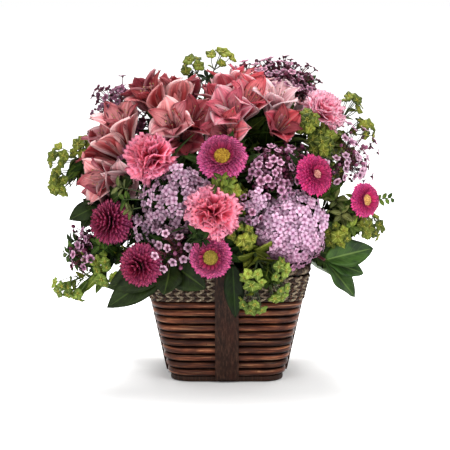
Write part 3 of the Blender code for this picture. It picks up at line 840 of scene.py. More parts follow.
def bupleurum_ruff():
    """Five cupped round bracts of uneven length, one unit from middle to edge."""
    bm = bmesh.new()
    for number, reach in enumerate((1.0, 0.80, 0.93, 0.74, 0.88)):
        turn = Matrix.Rotation(number * math.tau / 5 + 0.12 * (number % 3), 4, "Z")

        def place(s, t, turn=turn, reach=reach):
            half = 0.47 * math.sin(math.pi * min(1.0, 0.08 + 0.82 * s)) ** 0.75
            lift = 0.66 * s - 0.42 * s * s - 0.20 * t * t * s
            return turn @ Vector((t * half, s * reach * (1 - 0.1 * t * t), lift))
        add_blade(bm, (5, 4), place, 0.02)
    return shape_object("bupleurum_ruff", bm)


def leaf_shape(name, half, widest, fold, bow, steps=(8, 4), wave=0.0, teeth=0.0):
    """A pointed leaf: half width, where it is widest, how far it folds along its rib and bows."""
    power = math.log(0.5) / math.log(widest)

    def place(s, t):
        body = math.sin(math.pi * s**power) ** 0.85 if 0 < s < 1 else 0.0
        width = max(half * body, 0.012 * (1 - s))
        width *= 1 + teeth * (1 if round(s * steps[0]) % 2 else -1) * abs(t)
        lift = fold * abs(t) * body * half - bow * s * s + wave * math.sin(11 * s) * t * body
        return (t * width, s - 0.04 * abs(t) * teeth, lift)
    return blade(name, steps, place, 0.008)


# Finishes

def paint(red, green, blue):
    """A colour as it is seen, 0 to 255, as a shader takes it."""
    made = []
    for level in (red, green, blue):
        level /= 255
        made.append(level / 12.92 if level <= 0.04045 else ((level + 0.055) / 1.055) ** 2.4)
    return (*made, 1.0)


class Finish:
    """A node material in the making."""

    def __init__(self, name, roughness, specular=0.5):
        self.material = bpy.data.materials.new(name)
        self.material.use_nodes = True
        self.tree = self.material.node_tree
        self.skin = self.tree.nodes["Principled BSDF"]
        self.put("Roughness", roughness)
        self.put("Specular IOR Level", specular)

    def put(self, setting, value):
        self.skin.inputs[setting].default_value = value

    def node(self, kind, feeds, **settings):
        return step_node(self.tree, kind, feeds, **settings)

    def carried(self, name):
        return self.node("ShaderNodeAttribute", {}, attribute_name=name).outputs["Fac"]

    def stretched(self, x, y, z):
        place = self.tree.nodes.new("ShaderNodeTexCoord").outputs["Object"]
        return self.node("ShaderNodeMapping", {"Vector": place, "Scale": (x, y, z)}).outputs[0]

    def petal_lane(self, across, along, apart):
        """A place on a petal's own skin, stretched so that a cloud on it makes lines from root to edge."""
        feeds = {
            axis: self.sums("MULTIPLY", self.carried(key), scale)
            for axis, key, scale in (("X", "across", across), ("Y", "along", along), ("Z", "pick", apart))
        }
        return self.node("ShaderNodeCombineXYZ", feeds).outputs[0]

    def cloud(self, place, scale, detail, rough=0.55):
        feeds = {"Vector": place, "Scale": scale, "Detail": detail, "Roughness": rough}
        return self.node("ShaderNodeTexNoise", feeds).outputs["Fac"]

    def speckle(self, scale, detail, rough=0.55):
        """A cloud that is the same in all directions."""
        return self.cloud(self.stretched(1, 1, 1), scale, detail, rough)

    def drawn_out(self, x, y, z, detail, rough=0.55):
        """A cloud drawn out along the axis with the smallest number."""
        return self.cloud(self.stretched(x, y, z), 1.0, detail, rough)

    def sums(self, operation, first, second=0.0, third=0.0):
        return self.node("ShaderNodeMath", {0: first, 1: second, 2: third}, operation=operation).outputs[0]

    def span(self, value, low, high, to_low=0.0, to_high=1.0):
        feeds = {"Value": value, "From Min": low, "From Max": high, "To Min": to_low, "To Max": to_high}
        return self.node("ShaderNodeMapRange", feeds, interpolation_type="SMOOTHSTEP").outputs[0]

    def run(self, value, stops):
        made = self.node("ShaderNodeValToRGB", {"Fac": value})
        band = made.color_ramp
        while len(band.elements) < len(stops):
            band.elements.new(0.5)
        for element, (place, colour) in zip(band.elements, stops):
            element.position = place
            element.color = paint(*colour)
        return made.outputs["Color"]

    def mix(self, share, first, second, blend="MIX"):
        if isinstance(second, tuple):
            second = paint(*second)
        feeds = {0: share, 6: first, 7: second}
        return self.node("ShaderNodeMix", feeds, data_type="RGBA", blend_type=blend).outputs[2]

    def shaded(self, colour, value, hue=0.5, saturation=1.0):
        feeds = {"Hue": hue, "Saturation": saturation, "Value": value, "Color": colour}
        return self.node("ShaderNodeHueSaturation", feeds).outputs[0]

    def wear(self, colour, roughness, height, strength, distance):
        """The finished material, with its relief."""
        relief = self.node("ShaderNodeBump", {"Height": height, "Strength": strength, "Distance": distance})
        for socket, made in (("Base Color", colour), ("Roughness", roughness), ("Normal", relief.outputs[0])):
            self.tree.links.new(made, self.skin.inputs[socket])
        return self.material


PETAL_ROUGHNESS = 0.6
PETAL_SOFTNESS = 0.10


def petal_finish(
    name, root, middle, edge, painted_shade_tint=None, lanes=9.0, change=0.30, streak=None, margin=None, veins=1.0,
):
    """Petal skin: coloured from root to edge, finely veined, and a little different on each petal."""
    skin = Finish(name, PETAL_ROUGHNESS, 0.35)
    along, across, pick, tone = (skin.carried(key) for key in ("along", "across", "pick", "tone"))
    colour = skin.run(along, [(0.0, root), (0.5, middle), (1.0, edge)])
    vein = skin.cloud(skin.petal_lane(lanes, 1.4, 40.0), 1.0, 3.0)
    # The margin colour goes on the edges and down the middle of each petal: an edge colour of their own on
    # the alstroemerias, and on the asters a darker margin that is painted shade for the grooves between
    # petals
    if margin is not None:
        aside = skin.sums("ABSOLUTE", across)
        border, rib = skin.span(aside, 0.45, 1.0, 0.0, 0.85), skin.span(aside, 0.16, 0.0, 0.0, 0.4)
        pale = skin.sums("MULTIPLY", skin.sums("ADD", border, rib), skin.span(vein, 0.3, 0.6, 0.5, 1.0))
        colour = skin.mix(pale, colour, margin)
    colour = skin.shaded(colour, skin.span(vein, 0.3, 0.7, 1 + 0.12 * veins, 1 - 0.16 * veins))
    blotch = skin.speckle(260.0, 3.0)
    colour = skin.shaded(colour, skin.span(blotch, 0.3, 0.7, 0.90, 1.10))
    bright = skin.sums("MULTIPLY_ADD", pick, change, 1 - change / 2)
    tint = skin.sums("MULTIPLY_ADD", pick, 0.016, 0.492)
    colour = skin.shaded(colour, bright, tint)
    if streak is not None:
        dash = skin.cloud(skin.petal_lane(8.0, 5.0, 60.0), 1.0, 1.0)
        where = skin.sums("MULTIPLY", skin.span(dash, 0.60, 0.66), skin.span(along, 0.15, 0.5))
        where = skin.sums("MULTIPLY", where, skin.span(along, 0.95, 0.75))
        colour = skin.mix(where, colour, streak)
    # Painted shade: the tone multiplies the colour by this tint, deeper towards the middle of a head and
    # under a hydrangea's head
    if painted_shade_tint is not None:
        colour = skin.mix(tone, colour, painted_shade_tint, "MULTIPLY")
    skin.put("Subsurface Weight", PETAL_SOFTNESS)
    skin.put("Subsurface Radius", (1.0, 0.5, 0.5))
    skin.put("Subsurface Scale", 0.002)
    rough = skin.span(vein, 0.2, 0.8, PETAL_ROUGHNESS - 0.08, PETAL_ROUGHNESS + 0.12)
    return skin.wear(colour, rough, vein, 0.35, 0.0006)


def leaf_finish(name, deep, light, rib, roughness=0.42, ribs=8.0, change=0.5, specular=0.2, coat=0.0):
    """Leaf skin with a middle rib, side veins and patchy green."""
    skin = Finish(name, roughness, specular)
    along, across, pick = (skin.carried(key) for key in ("along", "across", "pick"))
    aside = skin.sums("ABSOLUTE", across)
    patch = skin.speckle(70.0, 4.0)
    colour = skin.run(skin.span(patch, 0.3, 0.7), [(0.0, deep), (1.0, light)])
    wave = skin.sums("MULTIPLY_ADD", aside, -2.0, skin.sums("MULTIPLY", along, ribs))
    crest = skin.sums("PINGPONG", wave, 0.5)
    side = skin.span(crest, 0.43, 0.5)
    middle = skin.span(aside, 0.10, 0.02)
    line = skin.sums("MAXIMUM", skin.sums("MULTIPLY", side, 0.35), middle)
    colour = skin.mix(skin.sums("MULTIPLY", line, 0.75), colour, rib)
    bright = skin.sums("MULTIPLY_ADD", pick, change, 1 - change / 2)
    tint = skin.sums("MULTIPLY_ADD", pick, -0.03, 0.515)
    colour = skin.shaded(colour, bright, tint)
    fine = skin.speckle(900.0, 2.0)
    height = skin.sums("MULTIPLY_ADD", fine, 0.25, skin.sums("MULTIPLY", line, -1.0))
    skin.put("Coat Weight", coat)
    skin.put("Coat Roughness", 0.25)
    rough = skin.span(fine, 0.2, 0.8, roughness - 0.06, roughness + 0.10)
    return skin.wear(colour, rough, height, 0.5, 0.0006)


def stalk_finish(name, deep, light):
    """Ribbed green or red-brown skin of stems and stalks."""
    skin = Finish(name, 0.5)
    lines = skin.drawn_out(420, 420, 30, 3.0)
    patch = skin.speckle(45.0, 2.0)
    colour = skin.run(skin.span(patch, 0.3, 0.7), [(0.0, deep), (1.0, light)])
    colour = skin.shaded(colour, skin.span(lines, 0.3, 0.7, 0.85, 1.15))
    return skin.wear(colour, skin.span(lines, 0.3, 0.7, 0.45, 0.6), lines, 0.3, 0.0004)


def rod_finish():
    """Varnished red-brown willow, with painted shade where the rods meet and thin pale streaks along them
    that are painted highlights.
    """
    skin = Finish("varnished_willow", 0.42, 0.14)
    streak = skin.drawn_out(26, 26, 420, 5.0, 0.62)
    patch = skin.drawn_out(34, 34, 60, 3.0)
    colour = skin.run(streak, [
        (0.28, (22, 5, 1)), (0.46, (78, 29, 12)), (0.58, (132, 62, 30)), (0.70, (208, 138, 92)),
    ])
    colour = skin.mix(skin.span(patch, 0.42, 0.70, 0.0, 0.85), colour, (58, 20, 11))
    height_up = skin.node("ShaderNodeSeparateXYZ", {"Vector": skin.stretched(1, 1, 1)}).outputs["Z"]
    course = skin.sums("DIVIDE", skin.sums("SUBTRACT", height_up, FIRST_ROD), ROD_PITCH)
    own = skin.node("ShaderNodeTexWhiteNoise", {"W": skin.sums("ROUND", course)}, noise_dimensions="1D")
    colour = skin.shaded(colour, skin.span(own.outputs["Value"], 0.0, 1.0, 0.55, 1.12), 0.506, 0.92)
    # Painted highlights: thin pale streaks along the rods stand in for glints of light
    painted_glint_lines = skin.drawn_out(15, 15, 640, 2.0)
    colour = skin.mix(skin.span(painted_glint_lines, 0.60, 0.70, 0.0, 0.55), colour, (190, 142, 104))
    # Painted shade: the colour goes nearly black where one rod meets the next
    painted_gap_shade = skin.sums("PINGPONG", course, 0.5)
    colour = skin.mix(skin.span(painted_gap_shade, 0.16, 0.42, 0.0, 0.94), colour, (10, 4, 3))
    nick = skin.drawn_out(300, 300, 90, 2.0)
    colour = skin.mix(skin.span(nick, 0.66, 0.74, 0.0, 0.6), colour, (26, 11, 8))
    skin.put("Coat Weight", 0.06)
    skin.put("Coat Roughness", 0.25)
    height = skin.sums("MULTIPLY_ADD", streak, 1.0, skin.sums("MULTIPLY", nick, 0.5))
    return skin.wear(colour, skin.span(streak, 0.3, 0.8, 0.34, 0.56), height, 0.55, 0.0009)


def slat_finish():
    """Dark stained wood with its grain up the slat."""
    skin = Finish("dark_stained_wood", 0.5, 0.12)
    grain = skin.drawn_out(520, 520, 16, 6.0, 0.65)
    patch = skin.drawn_out(60, 60, 14, 3.0)
    colour = skin.run(grain, [
        (0.28, (14, 8, 6)), (0.50, (44, 27, 20)), (0.66, (72, 48, 37)), (0.85, (104, 76, 62)),
    ])
    colour = skin.mix(skin.span(patch, 0.45, 0.75, 0.0, 0.55), colour, (58, 28, 20))
    return skin.wear(colour, skin.span(grain, 0.3, 0.7, 0.34, 0.58), grain, 0.6, 0.0008)


def seagrass_finish():
    """Dry twisted seagrass: pale and dark strands, with fine fibres."""
    skin = Finish("seagrass_twine", 0.7, 0.3)
    tone = skin.carried("tone")
    fibre = skin.drawn_out(700, 700, 260, 4.0)
    patch = skin.speckle(130.0, 3.0)
    pale = skin.run(fibre, [(0.3, (66, 52, 40)), (0.5, (122, 106, 86)), (0.7, (178, 164, 140))])
    dark = skin.run(fibre, [(0.3, (20, 12, 9)), (0.5, (48, 32, 25)), (0.7, (84, 60, 46))])
    share = skin.span(skin.sums("ADD", tone, skin.sums("MULTIPLY_ADD", patch, 0.9, -0.45)), 0.35, 0.65)
    colour = skin.mix(share, pale, dark)
    return skin.wear(colour, skin.span(fibre, 0.3, 0.7, 0.58, 0.82), fibre, 0.7, 0.0008)


def foam_finish():
    """Wet green floral foam, crumbly all over."""
    skin = Finish("floral_foam", 0.92, 0.15)
    grit = skin.speckle(900.0, 4.0, 0.7)
    patch = skin.speckle(60.0, 2.0)
    cells = skin.node("ShaderNodeTexVoronoi", {"Vector": skin.stretched(1, 1, 1), "Scale": 1400.0})
    colour = skin.run(grit, [(0.3, (18, 40, 24)), (0.55, (36, 68, 42)), (0.8, (60, 98, 62))])
    colour = skin.shaded(colour, skin.span(patch, 0.3, 0.7, 0.8, 1.15))
    height = skin.sums("MULTIPLY_ADD", cells.outputs["Distance"], 0.6, grit)
    return skin.wear(colour, skin.span(grit, 0.3, 0.8, 0.84, 0.98), height, 0.8, 0.0009)


def liner_finish():
    """Thin dark plastic, slightly scuffed."""
    skin = Finish("liner_plastic", 0.35)
    scuff = skin.drawn_out(300, 300, 40, 4.0)
    haze = skin.speckle(40.0, 2.0)
    colour = skin.run(haze, [(0.3, (18, 24, 20)), (0.7, (34, 42, 36))])
    colour = skin.shaded(colour, skin.span(scuff, 0.4, 0.7, 0.9, 1.3))
    return skin.wear(colour, skin.span(scuff, 0.35, 0.7, 0.28, 0.5), scuff, 0.15, 0.0003)


def bead_finish(name, deep, light, roughness=0.6):
    """Small round florets, buds and anthers: a tone that differs from one to the next, with a fine grain."""
    skin = Finish(name, roughness, 0.4)
    grain = skin.speckle(1100.0, 2.0)
    pick = skin.carried("pick")
    colour = skin.run(pick, [(0.0, deep), (1.0, light)])
    colour = skin.shaded(colour, skin.span(grain, 0.3, 0.7, 0.75, 1.2))
    rough = skin.span(grain, 0.3, 0.7, roughness - 0.1, roughness + 0.1)
    return skin.wear(colour, rough, grain, 0.4, 0.0004)


FINISHES = {
    "rod": rod_finish(),
    "slat": slat_finish(),
    "twine": seagrass_finish(),
    "foam": foam_finish(),
    "liner": liner_finish(),
    # The asters' margins are darker than their petals: painted shade for the grooves between petals
    "magenta": petal_finish(
        "aster_magenta", (140, 10, 70), (250, 58, 146), (255, 128, 194), (128, 56, 88), change=0.30,
        margin=(160, 20, 86)),
    "bright_magenta": petal_finish(
        "aster_bright_magenta", (150, 10, 76), (250, 54, 148), (255, 132, 200), (128, 50, 84),
        change=0.26, margin=(166, 18, 90)),
    "deep_magenta": petal_finish(
        "aster_deep_magenta", (66, 5, 32), (166, 30, 88), (224, 102, 156), (180, 110, 132),
        margin=(104, 12, 52)),
    "hot_pink": petal_finish(
        "aster_hot_pink", (146, 10, 80), (240, 42, 138), (250, 84, 164), (170, 96, 130), change=0.16,
        margin=(166, 18, 86)),
    "bright_pink": petal_finish(
        "aster_bright_pink", (164, 14, 90), (254, 56, 150), (255, 100, 180), (190, 110, 144),
        change=0.16, margin=(184, 26, 100)),
    "coral": petal_finish(
        "carnation_coral", (128, 10, 38), (216, 66, 100), (250, 150, 182), (205, 110, 122),
        change=0.5, veins=1.6),
    "salmon": petal_finish(
        "carnation_salmon", (150, 28, 56), (232, 94, 128), (255, 160, 188), (218, 140, 148),
        change=0.45, veins=1.6),
    "pale_pink": petal_finish(
        "carnation_pale_pink", (180, 60, 100), (244, 144, 172), (255, 200, 218), (235, 176, 192),
        change=0.4, veins=1.4),
    "lavender": petal_finish(
        "hydrangea_mauve", (170, 104, 144), (212, 170, 198), (222, 180, 206), (160, 104, 134), change=0.6),
    # A darker copy of the lavender finish: painted shade for the head on the left
    "lavender_painted_shade": petal_finish(
        "hydrangea_mauve_painted_shade", (128, 76, 108), (178, 138, 162), (206, 172, 194),
        (120, 96, 96), change=0.8),
    "rose_red": petal_finish(
        "alstroemeria_rose_red", (98, 24, 32), (152, 58, 68), (206, 132, 138),
        lanes=7.0, change=0.8, margin=(238, 198, 198), veins=2.4),
    "rose_streaked": petal_finish(
        "alstroemeria_streaked", (222, 184, 170), (200, 138, 142), (148, 58, 72),
        lanes=7.0, change=0.5, streak=(76, 10, 26), margin=(138, 44, 60)),
    "coral_red": petal_finish(
        "alstroemeria_coral_red", (108, 14, 28), (184, 50, 70), (222, 128, 142),
        lanes=7.0, change=0.8, margin=(246, 204, 208), veins=2.4),
    "crimson_rose": petal_finish(
        "alstroemeria_crimson_rose", (60, 6, 14), (114, 22, 36), (156, 56, 68),
        lanes=7.0, change=0.7, margin=(206, 138, 142), veins=2.4),
    "scarlet_rose": petal_finish(
        "alstroemeria_scarlet_rose", (70, 4, 12), (138, 20, 36), (180, 56, 70),
        lanes=7.0, change=0.7, margin=(226, 130, 138), veins=2.4),
    "blush": petal_finish(
        "alstroemeria_blush", (126, 62, 70), (184, 124, 132), (220, 174, 180),
        lanes=7.0, change=0.5, margin=(244, 216, 218), veins=1.8),
    "coral_streaked": petal_finish(
        "alstroemeria_coral_streaked", (232, 190, 172), (216, 132, 138), (184, 62, 80),
        lanes=7.0, change=0.4, streak=(96, 16, 34), margin=(176, 56, 74)),
    "crimson_streaked": petal_finish(
        "alstroemeria_crimson_streaked", (196, 140, 130), (160, 74, 80), (118, 28, 42),
        lanes=7.0, change=0.4, streak=(60, 6, 20), margin=(118, 26, 40)),
    "wax_pink": petal_finish(
        "waxflower_pink", (84, 24, 56), (176, 116, 150), (226, 184, 206), lanes=5.0, change=0.4),
    "wax_lilac": petal_finish(
        "waxflower_lilac", (66, 22, 48), (112, 58, 86), (150, 98, 126), lanes=5.0),
    "wax_rose": petal_finish(
        "waxflower_rose", (72, 20, 44), (150, 90, 118), (204, 158, 178), lanes=5.0, change=0.5),
    "wax_pale": petal_finish(
        "waxflower_pale", (120, 62, 92), (196, 150, 174), (228, 194, 212), lanes=5.0, change=0.4),
    "wax_cup": bead_finish("waxflower_cup", (36, 4, 20), (86, 22, 50), 0.4),
    "yellow_green": leaf_finish(
        "bupleurum_yellow_green", (46, 58, 12), (112, 122, 38), (164, 168, 86),
        roughness=0.6, ribs=6.0, change=0.9, specular=0.15),
    "fresh_green": leaf_finish(
        "bupleurum_fresh_green", (58, 78, 20), (122, 142, 54), (176, 186, 104),
        roughness=0.6, ribs=6.0, change=0.9, specular=0.15),
    "umbel": bead_finish("bupleurum_umbel", (128, 124, 34), (184, 176, 72)),
    "gold": bead_finish("aster_gold", (140, 98, 18), (212, 176, 60), 0.75),
    "olive_gold": bead_finish("aster_olive_gold", (120, 104, 30), (186, 164, 66), 0.75),
    "straw": bead_finish("aster_straw", (176, 120, 60), (240, 206, 128), 0.75),
    "cream": bead_finish("aster_cream", (170, 84, 84), (240, 190, 170), 0.75),
    "anther": bead_finish("alstroemeria_anther", (110, 80, 56), (176, 146, 96), 0.8),
    "olive_leaf": leaf_finish(
        "olive_leaf", (56, 62, 26), (112, 118, 66), (150, 154, 104),
        roughness=0.6, ribs=4.0, specular=0.12),
    "dark_leaf": leaf_finish(
        "dark_leaf", (14, 28, 6), (36, 58, 14), (64, 86, 36), roughness=0.6, specular=0.12),
    "salal_leaf": leaf_finish(
        "salal_leaf", (24, 46, 10), (62, 92, 26), (112, 136, 66),
        roughness=0.45, ribs=7.0, change=0.35, specular=0.2, coat=0.03),
    # A darker copy of the salal finish: painted shade for the sprays away from the key lamp
    "salal_painted_shade": leaf_finish(
        "salal_leaf_painted_shade", (12, 22, 4), (28, 44, 10), (54, 74, 28),
        roughness=0.5, ribs=7.0, change=0.35, specular=0.14, coat=0.02),
    "mid_leaf": leaf_finish(
        "mid_leaf", (32, 50, 12), (74, 98, 32), (110, 132, 62), roughness=0.6, specular=0.12),
    "grey_leaf": leaf_finish(
        "grey_leaf", (34, 54, 24), (70, 94, 48), (104, 122, 78),
        roughness=0.6, ribs=3.0, specular=0.12),
    "stalk": stalk_finish("green_stalk", (34, 52, 20), (78, 98, 46)),
    "red_stalk": stalk_finish("red_brown_stalk", (58, 18, 28), (96, 44, 46)),
}

SHAPES = {
    "aster_petal": aster_petal(),
    "bead": turned_shape("bead", [(0, -0.6), (0.5, -0.3), (0.56, 0.2), (0.3, 0.6), (0, 0.7)], 6),
    **{f"carnation_petal_{number}": carnation_petal(number) for number in range(CARNATION_SHAPES)},
    "calyx": turned_shape(
        "calyx", [(0, 0), (0.16, 0.02), (0.22, 0.2), (0.23, 0.7), (0.30, 1.0), (0.26, 1.02), (0, 0.8)], 10),
    "floret": hydrangea_floret(),
    "outer_tepal": alstroemeria_tepal("outer_tepal", 0.25, 74, 9),
    "inner_tepal": alstroemeria_tepal("inner_tepal", 0.165, 60, 7),
    "flower_bud": flower_bud(),
    "wax_petals": wax_petals(),
    "wax_cup": wax_cup(),
    "ruff": bupleurum_ruff(),
    # Leaves: half width, where they are widest, fold, bow
    "lance": leaf_shape("lance_leaf", 0.13, 0.42, 0.5, 0.22),
    "grass": leaf_shape("grass_leaf", 0.045, 0.30, 0.8, 0.45),
    "oval": leaf_shape("oval_leaf", 0.28, 0.45, 0.35, 0.18),
    "broad": leaf_shape("broad_leaf", 0.36, 0.42, 0.30, 0.25, (12, 4), 0.02, 0.05),
    "needle": leaf_shape("needle", 0.05, 0.35, 0.6, 0.10, (4, 2)),
    "salal": leaf_shape("salal_leaf", 0.5, 0.44, 0.22, 0.0, (14, 6), 0.03),
}


# Where the heads are, so that leaves keep clear of them

def head_places():
    heads = []
    for flowers, share in ((ASTERS, 0.86), (CARNATIONS, 0.92), (HYDRANGEAS, 1.0)):
        heads += [(from_mm(place), share * radius * MM) for place, _, _, radius in flowers]
    for fork, mouths in ALSTROEMERIAS.values():
        for mouth in mouths:
            out = (Vector(mouth) - Vector(fork)).normalized()
            heads.append((from_mm(Vector(mouth) - out * 6), 17 * MM))
    return heads


HEADS = head_places()


def in_the_mound(place, share):
    offset = place - MOUND_MIDDLE
    if place.z < MOUTH_LEVEL and math.hypot(place.x, place.y) < MOUTH_REACH:
        return False
    high = MOUND_SIZE.z if offset.z > 0 else MOUND_BELOW
    parts = (abs(offset.x) / MOUND_SIZE.x, abs(offset.y) / MOUND_SIZE.y, abs(offset.z) / high)
    return sum(part**MOUND_SQUARENESS for part in parts) ** (1 / MOUND_SQUARENESS) < share


def clear_of_heads(place, spare=0.0):
    return all((place - middle).length > radius + spare for middle, radius in HEADS)


# Leaves

# Leaves up each kind of stem: how many, from and to which share of it, length, width, lean
STEM_LEAVES = {
    "aster": (26, 0.1, 0.97, 46, 52, 50),
    "carnation": (22, 0.1, 0.9, 62, 90, 36),
    "hydrangea": (16, 0.1, 0.85, 58, 58, 60),
    "alstroemeria": (34, 0.08, 0.98, 56, 58, 48),
    "waxflower": (24, 0.08, 0.95, 42, 40, 52),
    "thin_waxflower": (24, 0.08, 0.68, 42, 40, 52),
    "needles": (30, 0.3, 1.0, 20, 24, 40),
    "thin_needles": (10, 0.3, 1.0, 20, 24, 40),
    "bupleurum": (26, 0.1, 1.0, 34, 36, 52),
    "low_bupleurum": (26, 0.1, 0.8, 34, 36, 52),
    "salal": (22, 0.05, 0.97, 54, 56, 58),
}
LEAVES_SO_FAR = []


def leaves_up(path, kind, rng, share=0.93, apart=9 * MM):
    """Leaf spots up a stem. Each leaf stays in the mound, off the heads and off its like, or is left out."""
    count, first, last, length, width, lean = STEM_LEAVES[kind]
    length, width = length * MM, width * MM
    spots = []
    run = [place for place, _ in path[1:]]
    for number in range(count):
        for attempt in range(10):
            at = (first + (last - first) * rng.random()) * (len(run) - 1)
            index = min(int(at), len(run) - 2)
            root = run[index].lerp(run[index + 1], at - index)
            along = (run[index + 1] - run[index]).normalized()
            side = along.orthogonal().normalized()
            out = Matrix.Rotation(rng.uniform(0, math.tau), 3, along) @ side
            slope = math.radians(lean + rng.uniform(-16, 16))
            way = along * math.cos(slope) + out * math.sin(slope)
            up = along * math.sin(slope) - out * math.cos(slope)
            long = length * rng.uniform(0.75, 1.15) * (1 - 0.03 * attempt)
            droop = up * -0.18 * long
            middle = root + way * long * 0.5 + droop * 0.25
            tip = root + way * long + droop
            if not all(in_the_mound(place, share) and clear_of_heads(place) for place in (middle, tip)):
                continue
            if any((middle - other).length < apart for other in LEAVES_SO_FAR):
                continue
            LEAVES_SO_FAR.append(middle)
            spots.append(spot(root, way, up, width * long / length, long, rng.random()))
            break
    return spots


def single_leaves(name):
    """The leaves of a spray that are set one by one, as parts of it."""
    by_finish = {}
    for root, tip, width, finish in SINGLE_LEAVES.get(name, []):
        root, tip = from_mm(root), from_mm(tip)
        made = spot(root, tip - root, Vector((0, -1, 0.35)), width * MM / 0.56, (tip - root).length, 0.5)
        by_finish.setdefault(finish, []).append(made)
    return [
        set_out("single_leaves", "oval", some, finish, change=0.0, seed=3)
        for finish, some in by_finish.items()
    ]


def collar_leaves(name, stem):
    """Broad leaves that hang from a stem's foot over the foam's edge, as a part of it."""
    root = stem[4][0]
    spots = []
    for tip in COLLAR_LEAVES.get(name, []):
        way = from_mm(tip) - root
        outward = Vector((way.x, way.y, 0)).normalized()
        spots.append(spot(root, way, Vector((0, 0, 1)) + outward * 0.8, 34 * MM, way.length))
    return [set_out("collar_leaves", "broad", spots, "dark_leaf", seed=8)]


def tufts(name, root):
    """Leafy tips of a spray, each on a twig from its root, as parts of it."""
    twigs, by_finish = [], {}
    for number, (place, count, length, finish) in enumerate(TUFTS.get(name, [])):
        place = from_mm(place)
        out = (place - root).normalized()
        twigs.append(bent(root, place, Vector((0, 0, 2 * MM)), 0.7 * MM, 0.7, 6))
        for k in range(count):
            aside = Matrix.Rotation(k * GOLDEN_ANGLE + number, 3, out) @ out.orthogonal().normalized()
            way, up = out * 0.5 + aside, out + Vector((0, -0.6, 0.3))
            long = length * MM * (0.8 + 0.1 * (k * 7 % 5))
            made = spot(place - out * 1.3 * MM * k, way, up, long * 0.8, long, 0.5)
            by_finish.setdefault(finish, []).append(made)
    parts = [stalks("twigs", twigs, "stalk", 5)] if twigs else []
    return parts + [set_out("tufts", "oval", some, finish, seed=6) for finish, some in by_finish.items()]


def extra_leaves(name, stem, root):
    """The leaves of a spray that the tables place one by one, as parts of it."""
    return single_leaves(name) + tufts(name, root) + collar_leaves(name, stem)


# Basket

def board(name, bm):
    """A wooden piece of the basket from its faces."""
    made = smooth_object(name, bm)
    made.data.materials.append(FINISHES["slat"])
    add_to_scene(made)
    return made


def build_base():
    """The board under the basket, with a rounded edge."""
    bm = bmesh.new()
    foot = [(BASE_EDGE, 0.0), (BASE_EDGE * 0.3, BASE_EDGE * 0.3), (0, BASE_EDGE)]
    rings = []
    for inset, height in foot + [(inset, BASE_THICK - height) for inset, height in reversed(foot)]:
        loop = rounded_square(BASE_HALF - inset, CORNER_RADIUS, 8, 4)
        rings.append([bm.verts.new((place.x, place.y, height)) for place in loop])
    close_round(bm, rings)
    bmesh.ops.recalc_face_normals(bm, faces=bm.faces)
    put_in_place(board("basket_base_board", bm), "dark_wood", "basket_base")


def build_rods():
    """Rings of willow stacked up the lower wall, none of them quite even."""
    rng = random.Random(SEED)
    for number in range(ROD_COUNT):
        height = FIRST_ROD + number * ROD_PITCH
        half = half_width(height) - ROD_RADIUS
        path = []
        for place, out in evenly(rounded_square(half, CORNER_RADIUS, 8, 10), ROD_POINTS):
            sway = unevenness(place, 16, number * 7.3)
            dip = unevenness(place, 11, number * 5.1 + 40)
            swell = unevenness(place, 40, number * 3.7 + 90)
            there = Vector((place.x, place.y, height))
            there += Vector((out.x, out.y, 0)) * (0.9 * MM * sway - 0.3 * MM) + Vector((0, 0, 0.7 * MM * dip))
            path.append((there, ROD_RADIUS * (0.97 + 0.09 * swell + rng.uniform(-0.006, 0.006))))
        name = f"rod_{number + 1:02d}"
        put_in_place(stalks(name + "_willow", [path], "rod", 14, closed=True), "rod", name)


def twine_strand(row, strand):
    """One twisted strand of a row, which changes sides between the stakes."""
    height = BAND_FOOT + (BAND_TOP - BAND_FOOT) * (row + 0.5) / TWINE_ROWS
    half = half_width(height) - BAND_THICK / 2
    path = []
    for number, (place, out) in enumerate(evenly(rounded_square(half, CORNER_RADIUS, 10, 12), STAKES * 4)):
        turn = (math.pi * number / 4 + math.pi * strand) * (-1 if row % 2 else 1)
        swell = unevenness(place, 60, row * 9.1 + strand * 30)
        bulge = TWINE_BULGE * math.cos(turn)
        there = Vector((
            place.x + out.x * bulge, place.y + out.y * bulge, height + TWINE_RISE * math.sin(turn),
        ))
        path.append((there, TWINE_RADIUS * (1 + 0.16 * swell)))
    return path


def band_stake(place):
    """One upright of the band, inside its strands."""
    path = []
    for step in range(7):
        height = BAND_FOOT + STAKE_RADIUS / 2 + (BAND_TOP - BAND_FOOT - STAKE_RADIUS) * step / 6
        half = half_width(height) - BAND_THICK / 2
        path.append((Vector((place.x * half, place.y * half, height)), STAKE_RADIUS))
    return path


def build_band():
    """Two strands a row, a pale one and a dark one, woven round upright stakes."""
    courses = [(row, strand) for row in range(TWINE_ROWS) for strand in (0, 1)]
    strands = [twine_strand(row, strand) for row, strand in courses]
    tones = [TWINE_TONES[strand] for _, strand in courses]
    places = evenly(rounded_square(1.0, CORNER_RADIUS / RIM_HALF, 8, 10), STAKES)
    parts = [
        stalks("twine", strands, "twine", 6, closed=True, tones=tones),
        stalks("stakes", [band_stake(place) for place, _ in places], "rod", 5),
    ]
    put_in_place(joined("woven_band_seagrass", parts), "woven_band", "woven_band")


